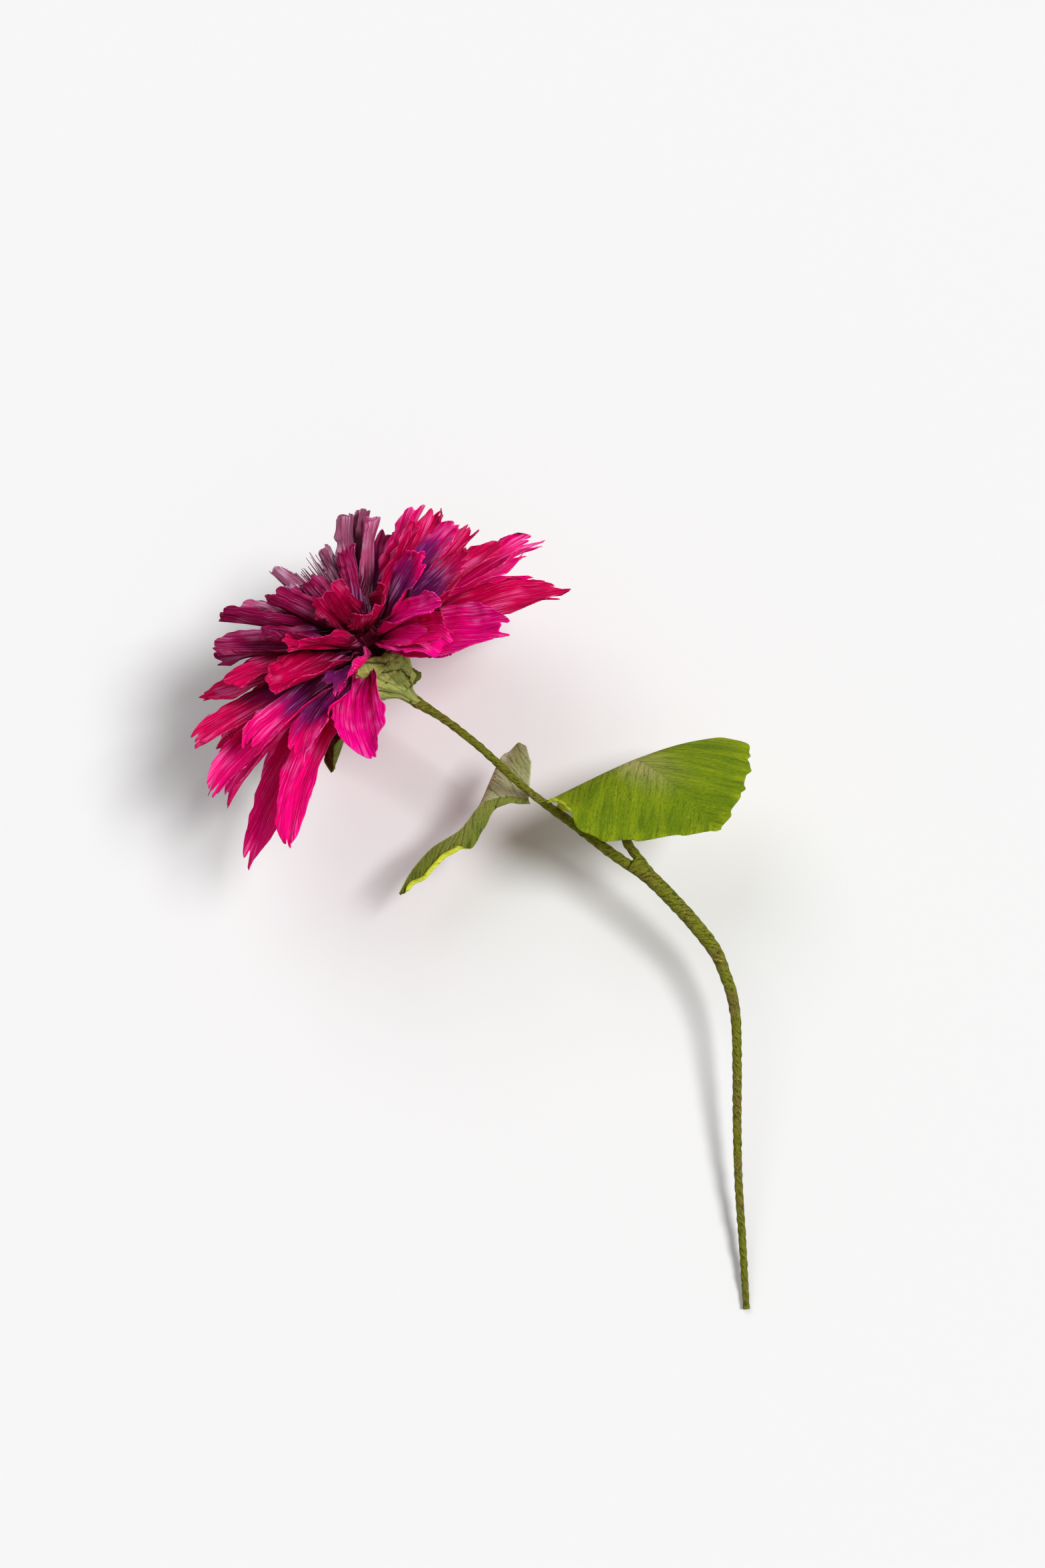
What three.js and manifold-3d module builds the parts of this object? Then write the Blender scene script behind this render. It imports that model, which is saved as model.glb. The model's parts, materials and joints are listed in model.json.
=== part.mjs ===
// A dahlia made of crepe paper on a paper-wrapped wire stem, lying as it comes to rest. Millimetres, +Z up.
// It is laid out flat in the plane of its stem: X across, Y up the stem to the head, Z to the upper side.
// The layout's zero is the neck, where the stem enters the calyx. The last step tips it onto its rests.
import * as THREE from "three";
import { mergeVertices } from "three/addons/utils/BufferGeometryUtils.js";
import Module from "manifold-3d";

const wasm = await Module();
wasm.setup();

const radians = THREE.MathUtils.degToRad;
const lerp = THREE.MathUtils.lerp;
const clamp01 = (x) => THREE.MathUtils.clamp(x, 0, 1);
const smooth = (x) => THREE.MathUtils.smoothstep(x, 0, 1);
const vec = (x, y, z = 0) => new THREE.Vector3(x, y, z);

// Driving dimensions
const PAPER = 0.5; // one sheet of crepe, over its ridges
const GLUE_GAP = 0.3; // left between pieces that are glued to each other

const HEAD_LEAN = 36.9; // degrees, the head's axis from +Y towards -X
const HEAD_NOD = 10; // degrees, the head's axis above the layout's plane
const REST_PITCH = 12.15; // degrees about X that bring the lying flower onto its rests
const REST_ROLL = 7.53; // degrees about Y

const WIRE_RADIUS = 0.5; // stem wire, 18 gauge
const LEAF_WIRE_RADIUS = 0.35; // finer wire in the front leaf
const WIRE_TOP = 27; // the wire's end, up the head's axis from the neck
const BORE_CLEARANCE = 0.2; // wrap to wire

const ROLL_RADIUS = 5.6; // fringed strip, rolled round the wire as the head's core
const ROLL_BOTTOM = 9;
const ROLL_TOP = 29;
const HEART_RADIUS = 4.2; // the same roll where the small petals sit on it
const HEART_BOTTOM = 24.4;
const FRINGE_TOP = 45;
const FRINGE_STRANDS = 18;

const CALYX_LIP = 8.2; // radius of the calyx at its open end
const CALYX_HEIGHT = 12;
const CALYX_WALL = 0.9;

const LAP_PITCH = 9; // one turn of the wrapping strip
const LAP_STEP = 0.18; // how far a turn stands over the one before

// Stem centreline from the neck to the cut end
const STEM_POINTS = [
  [0, 0], [11.2, -7.4], [21.8, -15.7], [35, -27.8], [49.6, -38.6], [62, -48], [71.8, -54.8], [78.8, -61.6],
  [86.2, -69.8], [92, -77.6], [96.4, -87], [98.3, -96.2], [98.8, -111.4], [98.8, -127.4], [99.2, -145],
  [100.5, -165.4], [101.6, -184],
].map(([x, y]) => vec(x, y));

// Radius of the wrapped stem against the distance below the neck
const UPPER_RADII = [[0, 1.9], [12, 1.2], [45, 1.15], [60, 1.4], [80, 1.6]];
const LOWER_RADII = [[82, 2.1], [90, 2.3], [115, 2.2], [130, 1.75], [150, 1.4], [195, 1.2], [232, 0.98]];
const JOIN = 85; // distance below the neck where the front leaf's stalk meets the stem
const BUNDLE_OFFSET = 1.25; // leaf wire from stem wire inside the lower wrap
const BUNDLE_LENGTH = 36; // how far the leaf wire runs down inside it

// Materials, one for each paper and for the wire
function finish(color, roughness, metalness = 0) {
  return new THREE.MeshStandardMaterial({ color, roughness, metalness });
}
const MAGENTA = finish(0xf00a74, 0.75);
const CRIMSON = finish(0xb4063e, 0.78);
const PLUM = finish(0x700c3c, 0.8);
const DARK_PLUM = finish(0x7a4662, 0.82);
const LEAF_GREEN = finish(0x6e8412, 0.75);
const CALYX_GREEN = finish(0x76803a, 0.8);
const STEM_GREEN = finish(0x6c6a20, 0.85);
const STEEL = finish(0x8c8f92, 0.4, 1);

// Front leaf's midrib, from the stalk's end up behind, over the top and forward down to the tip
const FRONT_MIDRIB = [
  [63.2, -37.5, -2], [62.8, -30, -4], [64.3, -23.4, -1.5], [67.4, -19.6, 3.5],
  [74, -23, 11], [82, -30, 17], [91.4, -40.2, 21],
];
const FRONT_RIGHT_WIDTHS = [
  [0, 3], [0.2, 15], [0.36, 23], [0.46, 26], [0.56, 28.5], [0.64, 26], [0.66, 24], [0.74, 21.5], [0.76, 19],
  [0.84, 15.5], [0.86, 12.5], [0.94, 7], [1, 1],
];
const FRONT_RIGHT_OUT = [[0, [0.93, 0.3, -0.2]], [0.4, [0.93, 0.37, -0.1]], [1, [0.93, 0.37, 0]]];
const FRONT_LEFT_WIDTHS = [
  [0, 3], [0.2, 20], [0.36, 28], [0.42, 29.5], [0.56, 30], [0.7, 31],
  [0.8, 28.5], [0.88, 21], [0.95, 9.5], [1, 1],
];
const FRONT_LEFT_OUT = [[0, [-0.93, -0.3, 0.05]], [0.4, [-0.93, -0.37, 0.16]], [1, [-0.93, -0.37, 0.05]]];
const MIDRIB_GAP = 0.2; // a half sheet's inner edge from the midrib's line

// Back leaf's midrib, from the stem's far side down and to the left
const BACK_MIDRIB = [
  [36.2, -31.2, -3.6], [29, -30.4, -9], [22, -32.8, -13], [15.4, -40.6, -15],
  [6.6, -46.4, -15.5], [0.4, -53.5, -14], [-3.2, -60, -12],
];
const BACK_UPPER_WIDTHS = [
  [0, 13], [0.06, 18], [0.13, 19], [0.22, 16], [0.31, 9], [0.5, 9.5], [0.8, 7], [1, 0.9],
];
const BACK_UPPER_OUT = [
  [0, [0.05, 0.92, -0.4]], [0.24, [0.1, 0.92, -0.4]], [0.42, [0.25, 0.1, -0.96]], [1, [0.3, -0.1, -0.95]],
];
const BACK_LOWER_WIDTHS = [
  [0, 1.5], [0.1, 2.5], [0.25, 4], [0.4, 6.5], [0.6, 9], [0.8, 9], [0.92, 6], [1, 0.9],
];
const BACK_LOWER_OUT = [[0, [0.1, -0.6, 0.3]], [0.3, [0.4, -0.46, 0.62]], [1, [0.46, -0.54, 0.66]]];

// The front leaf's stalk, from behind the leaf down to the stem
const STALK_POINTS = [
  [63.4, -31, -1.6], [63.7, -36, -0.6], [64.6, -41, 0], [66.6, -45.4, 0], [70, -49.8, 0],
].map((p) => vec(...p));

// Petals
const WIDEST_AT = 0.6;
const GATHER = 0.12; // base width as a share of the widest
const TIP_SHARE = 0.08;

// Each sepal: turn about the axis, rise above square to it, length, width
const SEPALS = [
  [24, -36, 31, 13], [160, -84, 10.5, 9], [141, -14, 18, 8], [220, -30, 24, 10], [300, -20, 24, 10],
];

// Rows from the calyx up. Each petal: turn about the axis in degrees, rise above square to it, length
const SEAT = ROLL_RADIUS + GLUE_GAP + 0.3;
const PETAL_ROWS = [
  {
    name: "outer", height: 13.6, radius: SEAT, width: 16.5, curl: -30, cup: 28, show: 40, material: MAGENTA,
    petals: [
      [2, -23, 71], [31, -22, 63], [59, -21, 48, { roll: -8 }], [123, -13, 57, { width: 18 }],
      [158, -16, 59, { roll: 26 }], [200, -18, 58], [246, -12, 60], [297, -12, 60], [334, -17, 62],
    ],
  },
  {
    name: "second", height: 16, radius: SEAT, width: 16, curl: -20, cup: 30, show: 34, material: MAGENTA,
    petals: [
      [14, -2, 62], [35, 1, 52, { roll: -20 }], [51, -8, 47, { roll: -8, lift: -0.9 }],
      [74, 3, 44, { width: 12.5 }], [116, -11, 42, { curl: -32, width: 13 }], [171, -2, 56, { roll: 18 }],
      [222, -2, 53], [271, -1, 46], [316, -2, 55], [345, -10, 65, { roll: -16 }],
    ],
  },
  {
    name: "third", height: 18.4, radius: SEAT, width: 15.5, curl: -12, cup: 32, show: 28, material: CRIMSON,
    petals: [
      [9, 9, 56, { roll: -16 }], [49, 13, 42, { roll: -4 }], [113, -9, 39, { curl: -36, width: 14 }],
      [144, 8, 43, { roll: 10, width: 13 }], [188, 11, 45], [235, 12, 46], [282, 8, 46], [347, 3, 55],
    ],
  },
  {
    name: "fourth", height: 20.8, radius: SEAT, width: 14.5, curl: -6, cup: 36, show: 22, material: CRIMSON,
    petals: [
      [357, 18, 48, { roll: -8 }], [24, 24, 42, { roll: -10 }], [63, 24, 37],
      [121, -1, 40, { curl: -16, lift: -0.6, width: 13 }], [139, 21, 35, { width: 12.5 }],
      [167, 18, 40, { roll: 8 }], [204, 22, 44], [255, 20, 42], [308, 20, 42],
    ],
  },
  {
    name: "fifth", height: 23, radius: SEAT, width: 13.5, curl: 0, cup: 42, show: 16, material: PLUM,
    petals: [
      [8, 36, 40], [42, 34, 33], [88, 35, 32], [120, 29, 31], [153, 31, 35], [188, 33, 38], [341, 30, 41],
    ],
  },
];

// Small inner petals: turn about the axis, rise, length and width, the upright ones rolled nearly into tubes
const OPEN_HEART = { height: 25.8, curl: 4, cup: 60 };
const OPEN_HEART_PETALS = [
  [10, 46, 37, 14], [34, 60, 27, 13], [64, 74, 21, 11], [169, 51, 30, 12], [226, 40, 28, 14],
  [272, 32, 28, 14], [318, 38, 30, 14], [350, 51, 32, 13],
];
const ROLLED_HEART = { height: 26.8, curl: 0, cup: 115 };
const ROLLED_HEART_PETALS = [
  [2, 80, 29, 9.5], [152, 64, 23, 12], [179, 63, 31, 14], [197, 53, 32, 13], [246, 60, 22, 12],
  [296, 60, 21, 12],
];

// A value read off a list of [position, value] pairs, eased between them
function ramp(pairs, x) {
  const next = pairs.findIndex(([at]) => at >= x);
  if (next < 0) return pairs.at(-1)[1];
  if (next === 0) return pairs[0][1];
  const [[x0, y0], [x1, y1]] = [pairs[next - 1], pairs[next]];
  return lerp(y0, y1, smooth((x - x0) / (x1 - x0)));
}

function geometry(points, triangles) {
  const made = new THREE.BufferGeometry().setFromPoints(points);
  made.setIndex(triangles);
  return made;
}

// The two triangles of a quad whose corners run anticlockwise seen from outside
const quad = (a, b, c, d) => [a, b, c, a, c, d];

// A closed thin solid on a surface: surface(s, t) is its middle, s from 0 to 1 and t from -1 to 1
function sheet(surface, along, across, thickness = PAPER) {
  const STEP = 1e-3;
  const columns = across + 1;
  const upper = [];
  const lower = [];
  for (let i = 0; i <= along; i++) {
    for (let j = 0; j <= across; j++) {
      const s = i / along;
      const t = (2 * j) / across - 1;
      const ds = surface(s + STEP, t).sub(surface(s - STEP, t));
      const dt = surface(s, t + STEP).sub(surface(s, t - STEP));
      const half = ds.cross(dt).setLength(thickness / 2);
      upper.push(surface(s, t).add(half));
      lower.push(surface(s, t).sub(half));
    }
  }
  const under = upper.length;
  const triangles = [];
  for (let i = 0; i < along; i++) {
    for (let j = 0; j < across; j++) {
      const k = i * columns + j;
      triangles.push(...quad(k, k + columns, k + columns + 1, k + 1));
      triangles.push(...quad(k + under, k + 1 + under, k + columns + 1 + under, k + columns + under));
    }
  }
  const wall = (a, b) => triangles.push(...quad(a, b, b + under, a + under));
  for (let j = 0; j < across; j++) {
    wall(j, j + 1);
    wall(along * columns + j + 1, along * columns + j);
  }
  for (let i = 0; i < along; i++) {
    wall((i + 1) * columns, i * columns);
    wall(i * columns + across, (i + 1) * columns + across);
  }
  return geometry([...upper, ...lower], triangles);
}

// A closed sleeve along a curve. outer and inner give the section's offset from the curve, its half-width
// in the layout's plane and its half-height out of it.
function sleeve(curve, from, to, steps, sides, outer, inner) {
  const points = [];
  for (let i = 0; i <= steps; i++) {
    const part = lerp(from, to, i / steps);
    const centre = curve.getPointAt(part);
    const tangent = curve.getTangentAt(part);
    const inPlane = vec(-tangent.y, tangent.x).normalize();
    const outOfPlane = tangent.clone().cross(inPlane);
    for (const section of [outer, inner]) {
      for (let k = 0; k < sides; k++) {
        const angle = (2 * Math.PI * k) / sides;
        const [offset, a, b] = section(part, k / sides);
        const point = centre.clone().addScaledVector(inPlane, offset + a * Math.cos(angle));
        points.push(point.addScaledVector(outOfPlane, b * Math.sin(angle)));
      }
    }
  }
  const ring = 2 * sides;
  const triangles = [];
  for (let k = 0; k < sides; k++) {
    const next = (k + 1) % sides;
    for (let i = 0; i < steps; i++) {
      const a = i * ring;
      const b = a + ring;
      triangles.push(...quad(a + k, a + next, b + next, b + k));
      triangles.push(...quad(a + sides + next, a + sides + k, b + sides + k, b + sides + next));
    }
    const end = steps * ring;
    triangles.push(...quad(next, k, sides + k, sides + next));
    triangles.push(...quad(end + k, end + next, end + sides + next, end + sides + k));
  }
  return geometry(points, triangles);
}

function wire(curve, radius, steps) {
  const section = new THREE.Shape().absarc(0, 0, radius, 0, 2 * Math.PI);
  const sweep = { steps, curveSegments: 3, bevelEnabled: false, extrudePath: curve };
  return new THREE.ExtrudeGeometry(section, sweep);
}

function solid(shape) {
  const bare = shape.clone();
  bare.deleteAttribute("normal");
  bare.deleteAttribute("uv");
  const merged = mergeVertices(bare, 1e-4);
  const vertProperties = merged.attributes.position.array;
  return new wasm.Manifold(
    new wasm.Mesh({ numProp: 3, vertProperties, triVerts: new Uint32Array(merged.index.array) }),
  );
}

function joined(shapes) {
  const whole = shapes.map(solid).reduce((sum, next) => sum.add(next));
  const { vertProperties, triVerts } = whole.getMesh();
  const made = new THREE.BufferGeometry();
  made.setAttribute("position", new THREE.BufferAttribute(new Float32Array(vertProperties), 3));
  made.setIndex(new THREE.BufferAttribute(new Uint32Array(triVerts), 1));
  return made;
}

function node(name, shape, material) {
  shape.computeVertexNormals();
  const mesh = new THREE.Mesh(shape, material);
  mesh.name = name;
  return mesh;
}

// The head's frame: its X points down and to the left, its Y up from the floor, its Z along the axis
const lean = radians(HEAD_LEAN);
const nod = radians(HEAD_NOD);
const headAxis = vec(-Math.sin(lean) * Math.cos(nod), Math.cos(lean) * Math.cos(nod), Math.sin(nod));
const headLeft = vec(-Math.cos(lean), -Math.sin(lean));
const upAxis = (height) => headAxis.clone().multiplyScalar(height);

const stemLine = new THREE.CatmullRomCurve3(
  [upAxis(WIRE_TOP), upAxis(12), upAxis(3), ...STEM_POINTS],
  false,
  "centripetal",
);
const STEM_LENGTH = stemLine.getLength();
// A share of the wire's length from the distance below the neck, and back
const share = (distance) => (distance + WIRE_TOP) / STEM_LENGTH;
const below = (part) => part * STEM_LENGTH - WIRE_TOP;

// The spiral step that the wrapping strip leaves round the stem
function lap(distance, turn) {
  const wound = distance / LAP_PITCH + turn;
  return LAP_STEP * (wound - Math.floor(wound) - 0.5);
}

// A line that runs beside the stem inside its wrap, from one distance below the neck to another
function besideStem(from, to, count) {
  return Array.from({ length: count }, (_, i) => {
    const at = share(lerp(from, to, i / (count - 1)));
    const tangent = stemLine.getTangentAt(at);
    return stemLine.getPointAt(at).addScaledVector(vec(-tangent.y, tangent.x).normalize(), BUNDLE_OFFSET);
  });
}

const stalkLine = new THREE.CatmullRomCurve3(
  [...STALK_POINTS, ...besideStem(JOIN + 7, JOIN + BUNDLE_LENGTH, 5)],
  false,
  "centripetal",
);

function stem() {
  const group = new THREE.Group();
  const bore = WIRE_RADIUS + BORE_CLEARANCE;
  const round = (radius) => [0, radius, radius];
  // 1 where two wires share the wrap, and 1 at the wrap's start, where the stalk enters
  const bundled = (part) => 1 - smooth((below(part) - JOIN - BUNDLE_LENGTH) / 8);
  const mouth = (part) => 1 - smooth((below(part) - JOIN) / 8);
  const spread = (part) => BUNDLE_OFFSET * 0.5 * bundled(part) + mouth(part);
  const upper = (part, turn) => round(ramp(UPPER_RADII, below(part)) + lap(below(part), turn));
  const lower = (part, turn) => {
    const radius = ramp(LOWER_RADII, below(part)) + lap(below(part), turn);
    return [spread(part), radius + mouth(part), radius];
  };
  const lowerBore = (part) => [spread(part), bore + spread(part), bore + 0.4 * mouth(part)];
  const stalk = (part) => round(lerp(1.5, 1.15, part));
  const stalkBore = LEAF_WIRE_RADIUS + BORE_CLEARANCE;
  const upperWrap = sleeve(stemLine, share(0.3), share(JOIN - 0.5), 20, 10, upper, () => round(bore));
  const lowerWrap = sleeve(stemLine, share(JOIN), 1, 28, 10, lower, lowerBore);
  const stalkWrap = sleeve(stalkLine, 0.12, 0.335, 8, 8, stalk, () => round(stalkBore));
  group.add(
    node("stem_wire", wire(stemLine, WIRE_RADIUS, 48), STEEL),
    node("stem_wrap_upper", upperWrap, STEM_GREEN),
    node("stem_wrap_lower", lowerWrap, STEM_GREEN),
    node("front_leaf_wire", wire(stalkLine, LEAF_WIRE_RADIUS, 24), STEEL),
    node("front_leaf_stalk", stalkWrap, STEM_GREEN),
  );
  return group;
}

// Leaves: each is two half sheets glued along a midrib, a half given by its widths and its outward directions
function leafHalf(midrib, widths, outward, droop, along = 12) {
  const outwardOn = (axis) => outward.map(([at, direction]) => [at, direction[axis]]);
  const towards = (part) => vec(...[0, 1, 2].map((axis) => ramp(outwardOn(axis), part)));
  return sheet(
    (s, t) => {
      const part = clamp01(s);
      const out = towards(part).normalize();
      const tangent = midrib.getTangentAt(part);
      const face = tangent.clone().cross(out).normalize();
      const reach = ramp(widths, part);
      const b = lerp(MIDRIB_GAP / reach, 1, (t + 1) / 2);
      const point = midrib.getPointAt(part).addScaledVector(tangent, (s - part) * midrib.getLength());
      return point.addScaledVector(out, reach * b).addScaledVector(face, droop * reach * b * b);
    },
    along,
    4,
  );
}

function leaves() {
  const group = new THREE.Group();
  const front = new THREE.CatmullRomCurve3(FRONT_MIDRIB.map((p) => vec(...p)), false, "centripetal");
  const back = new THREE.CatmullRomCurve3(BACK_MIDRIB.map((p) => vec(...p)), false, "centripetal");
  group.add(
    node("front_leaf_left", leafHalf(front, FRONT_LEFT_WIDTHS, FRONT_LEFT_OUT, 0.05, 18), LEAF_GREEN),
    node("front_leaf_right", leafHalf(front, FRONT_RIGHT_WIDTHS, FRONT_RIGHT_OUT, -0.12, 16), LEAF_GREEN),
    node("back_leaf_upper", leafHalf(back, BACK_UPPER_WIDTHS, BACK_UPPER_OUT, 0.1), LEAF_GREEN),
    node("back_leaf_lower", leafHalf(back, BACK_LOWER_WIDTHS, BACK_LOWER_OUT, -0.15), LEAF_GREEN),
  );
  return group;
}

// Head
function turned(profile, segments) {
  const points = [...profile, profile[0]].map(([radius, height]) => new THREE.Vector2(radius, height));
  return new THREE.LatheGeometry(points, segments).rotateX(Math.PI / 2);
}

// Half-width of a petal as a share of its widest: gathered at the base, widest past the middle, pointed
function petalOutline(s) {
  if (s < WIDEST_AT) return lerp(GATHER, 1, Math.sin((Math.PI / 2) * (s / WIDEST_AT)));
  const past = (s - WIDEST_AT) / (1 - WIDEST_AT);
  return Math.max(TIP_SHARE, Math.cos((Math.PI / 2) * past ** 1.4));
}

// A petal from its base along +X: it bends up along an arc, is cupped across and rolls over on its centreline
function petalSurface({ length, width, rise, curl, cup, roll = 0 }) {
  const bend = radians(curl) || 1e-6;
  const start = radians(rise) - bend / 2;
  return (s, t) => {
    const slope = start + bend * s;
    const run = (length / bend) * (Math.sin(slope) - Math.sin(start));
    const climb = (length / bend) * (Math.cos(start) - Math.cos(slope));
    const half = (width / 2) * petalOutline(s);
    const open = radians(cup);
    const tilt = radians(roll) * smooth(s / 0.35);
    const flat = (half * Math.sin(open * t)) / open;
    const raised = (half * (1 - Math.cos(open * t))) / open;
    const y = flat * Math.cos(tilt) - raised * Math.sin(tilt);
    const up = flat * Math.sin(tilt) + raised * Math.cos(tilt);
    return vec(run - up * Math.sin(slope), y, climb + up * Math.cos(slope));
  };
}

function placePetal(mesh, turn, radius, height) {
  const angle = radians(turn);
  mesh.position.set(radius * Math.cos(angle), radius * Math.sin(angle), height);
  mesh.rotation.z = angle;
  return mesh;
}

function petalRow({ name, height, radius, material, petals, show, ...shape }) {
  return petals.map(([turn, rise, length, changes = {}], i) => {
    const roll = -show * Math.cos(radians(turn));
    const surface = petalSurface({ ...shape, rise, length, roll, ...changes });
    const mesh = node(`${name}_petal_${i + 1}`, sheet(surface, 7, 4), material);
    return placePetal(mesh, turn, radius, height + (changes.lift ?? 0));
  });
}

function calyx() {
  const lip = CALYX_LIP;
  const inside = lip - CALYX_WALL;
  const profile = [
    [1.1, 0.4], [2.1, 0.4], [3.3, 2.2], [5.3, 5], [7.2, 8.4], [lip, CALYX_HEIGHT],
    [inside, CALYX_HEIGHT], [6.3, 8.4], [4.4, 5.6], [2.4, 3.4], [1.1, 2.8],
  ];
  return node("calyx_cup", turned(profile, 20), CALYX_GREEN);
}

function sepals() {
  return SEPALS.map(([turn, rise, length, width], i) => {
    const surface = petalSurface({ length, width, rise, curl: -24, cup: 30 });
    const mesh = node(`sepal_${i + 1}`, sheet(surface, 6, 2), CALYX_GREEN);
    return placePetal(mesh, turn, CALYX_LIP + GLUE_GAP + 0.3, CALYX_HEIGHT - 1);
  });
}

// The rolled strip: a solid roll bored for the wire, its upper edge cut into strands that spread
function fringeRoll() {
  const bore = 1;
  const end = WIRE_TOP + 0.6;
  const roll = turned(
    [
      [bore, ROLL_BOTTOM], [ROLL_RADIUS, ROLL_BOTTOM], [ROLL_RADIUS, HEART_BOTTOM - 0.6],
      [HEART_RADIUS, HEART_BOTTOM], [HEART_RADIUS, ROLL_TOP], [0, ROLL_TOP], [0, end], [bore, end],
    ],
    16,
  );
  const strands = Array.from({ length: FRINGE_STRANDS }, (_, i) => {
    const inner = i % 3 === 2;
    const tall = FRINGE_TOP - ROLL_TOP - (inner ? 0 : 2 * (i % 2));
    const strand = new THREE.CylinderGeometry(0.2, 0.75, tall, 4).rotateX(Math.PI / 2);
    strand.translate(0, 0, tall / 2 - 0.5).rotateY(radians(inner ? 2 : 8));
    return strand.translate(inner ? 1.2 : 2.8, 0, ROLL_TOP).rotateZ((2 * Math.PI * i) / FRINGE_STRANDS);
  });
  return node("centre_fringe", joined([roll, ...strands]), DARK_PLUM);
}

// The small inner petals stand on one strip wound round the roll, so they are one piece with it
function heart() {
  const inner = HEART_RADIUS + GLUE_GAP;
  const outer = inner + 1.2;
  const bottom = HEART_BOTTOM + 0.4;
  const strip = turned([[inner, bottom], [outer, bottom], [outer, ROLL_TOP], [inner, ROLL_TOP]], 16);
  const upright = ({ height, ...shape }) => ([turn, rise, length, width]) => {
    const petal = sheet(petalSurface({ ...shape, rise, length, width }), 4, 4);
    return petal.translate(inner + 0.6, 0, height).rotateZ(radians(turn));
  };
  const open = OPEN_HEART_PETALS.map(upright(OPEN_HEART));
  const rolled = ROLLED_HEART_PETALS.map(upright(ROLLED_HEART));
  return node("heart_petals", joined([strip, ...open, ...rolled]), DARK_PLUM);
}

function head() {
  const group = new THREE.Group();
  const frame = new THREE.Matrix4().makeBasis(headLeft, headAxis.clone().cross(headLeft), headAxis);
  group.quaternion.setFromRotationMatrix(frame);
  group.add(calyx(), ...sepals(), fringeRoll(), heart(), ...PETAL_ROWS.flatMap(petalRow));
  return group;
}

// The whole flower, tipped onto its rests, its footprint centred and its lowest point on the floor
function flower() {
  const laid = new THREE.Group();
  laid.add(stem(), leaves(), head());
  laid.rotation.set(radians(REST_PITCH), radians(REST_ROLL), 0);
  const whole = new THREE.Group();
  whole.add(laid);
  const box = new THREE.Box3().setFromObject(whole, true);
  const middle = box.getCenter(vec(0, 0));
  laid.position.set(-middle.x, -middle.y, -box.min.z);
  whole.updateMatrixWorld(true);
  return whole;
}

export default flower();
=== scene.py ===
"""A dahlia of crepe paper with two leaves on a wrapped wire stem, lying at rest on a pale floor."""
import json
import math

import bpy
import numpy as np
from mathutils import Matrix, Vector


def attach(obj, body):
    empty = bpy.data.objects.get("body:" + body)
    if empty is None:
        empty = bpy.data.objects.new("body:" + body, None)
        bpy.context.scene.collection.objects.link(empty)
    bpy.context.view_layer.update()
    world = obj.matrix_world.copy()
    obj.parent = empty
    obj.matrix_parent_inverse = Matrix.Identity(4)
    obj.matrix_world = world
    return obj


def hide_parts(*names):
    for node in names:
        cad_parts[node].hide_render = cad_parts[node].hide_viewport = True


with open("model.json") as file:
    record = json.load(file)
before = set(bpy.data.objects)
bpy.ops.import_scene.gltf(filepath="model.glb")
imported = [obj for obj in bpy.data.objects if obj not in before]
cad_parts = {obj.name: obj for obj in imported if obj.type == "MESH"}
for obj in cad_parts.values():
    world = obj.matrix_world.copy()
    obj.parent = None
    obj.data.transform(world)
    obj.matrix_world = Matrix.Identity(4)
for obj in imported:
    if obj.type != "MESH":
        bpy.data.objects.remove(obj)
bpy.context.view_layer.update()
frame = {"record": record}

bl_info = {
    "name": "Crepe Paper Dahlia",
    "version": (1, 0, 0),
    "blender": (4, 5, 0),
    "location": "View3D > Sidebar > Dahlia",
    "description": "Makes a crepe-paper dahlia with its leaves and wrapped stem on the packed frame",
    "category": "Add Mesh",
}

MM = 0.001

# The layout is flat in the stem's plane, in millimetres from the neck, and is tipped onto the flower's rests
HEAD_LEAN = math.radians(36.9)
HEAD_NOD = math.radians(10)
REST = Matrix.Rotation(math.radians(12.15), 3, "X") @ Matrix.Rotation(math.radians(7.53), 3, "Y")
STEM_POINTS = [
    (0, 0, 0), (11.2, -7.4, 0), (21.8, -15.7, 0), (35, -27.8, 0), (49.6, -38.6, 0), (62, -48, 0),
    (71.8, -54.8, 0), (78.8, -61.6, 0), (86.2, -69.8, 0), (92, -77.6, 0), (96.4, -87, 0), (98.3, -96.2, 0),
    (98.8, -111.4, 0), (98.8, -127.4, 0), (99.2, -145, 0), (100.5, -165.4, 0), (101.6, -184, 0),
]
WIRE_IN_HEAD = 27

# Radius of the wrapped stem against the distance below the neck
UPPER_RADII = [(0, 1.9), (12, 1.2), (45, 1.15), (60, 1.4), (80, 1.6)]
LOWER_RADII = [(82, 2.1), (90, 2.3), (115, 2.2), (130, 1.75), (150, 1.4), (195, 1.2), (232, 0.98)]

# The front leaf's stalk meets the stem at the join, and its wire runs on beside the stem's inside the wrap
JOIN = 85
JOIN_EASE = 8
JOIN_MOUTH = 0.5
BUNDLE_OFFSET = 1.25
BUNDLE_FROM = 7
BUNDLE_LENGTH = 36
STALK_POINTS = [(63.4, -31, -1.6), (63.7, -36, -0.6), (64.6, -41, 0), (66.6, -45.4, 0), (70, -49.8, 0)]

# The part of the leaf wire's run that shows as the stalk, and the radius and taper of its wrap
STALK_FROM = 0.1
STALK_TO = 0.4
STALK_RADIUS = 1.5
STALK_TAPER = 0.35

# How each strip is wound: the rise of one turn, how far a turn stands over the last, and its rows and threads
LAP_PITCH = 9.0
LAP_STEP = 0.22
STALK_LAP_PITCH = 6.0
STALK_LAP_STEP = 0.2
LAP_ROW = 0.45
LAP_THREADS = 28

# The camera stands square to the layout's plane, at these distances from the neck
CAMERA_AT = (34.4, -26.6, 733)
CAMERA_LENS = 56.1
SENSOR_WIDTH = 36

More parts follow.
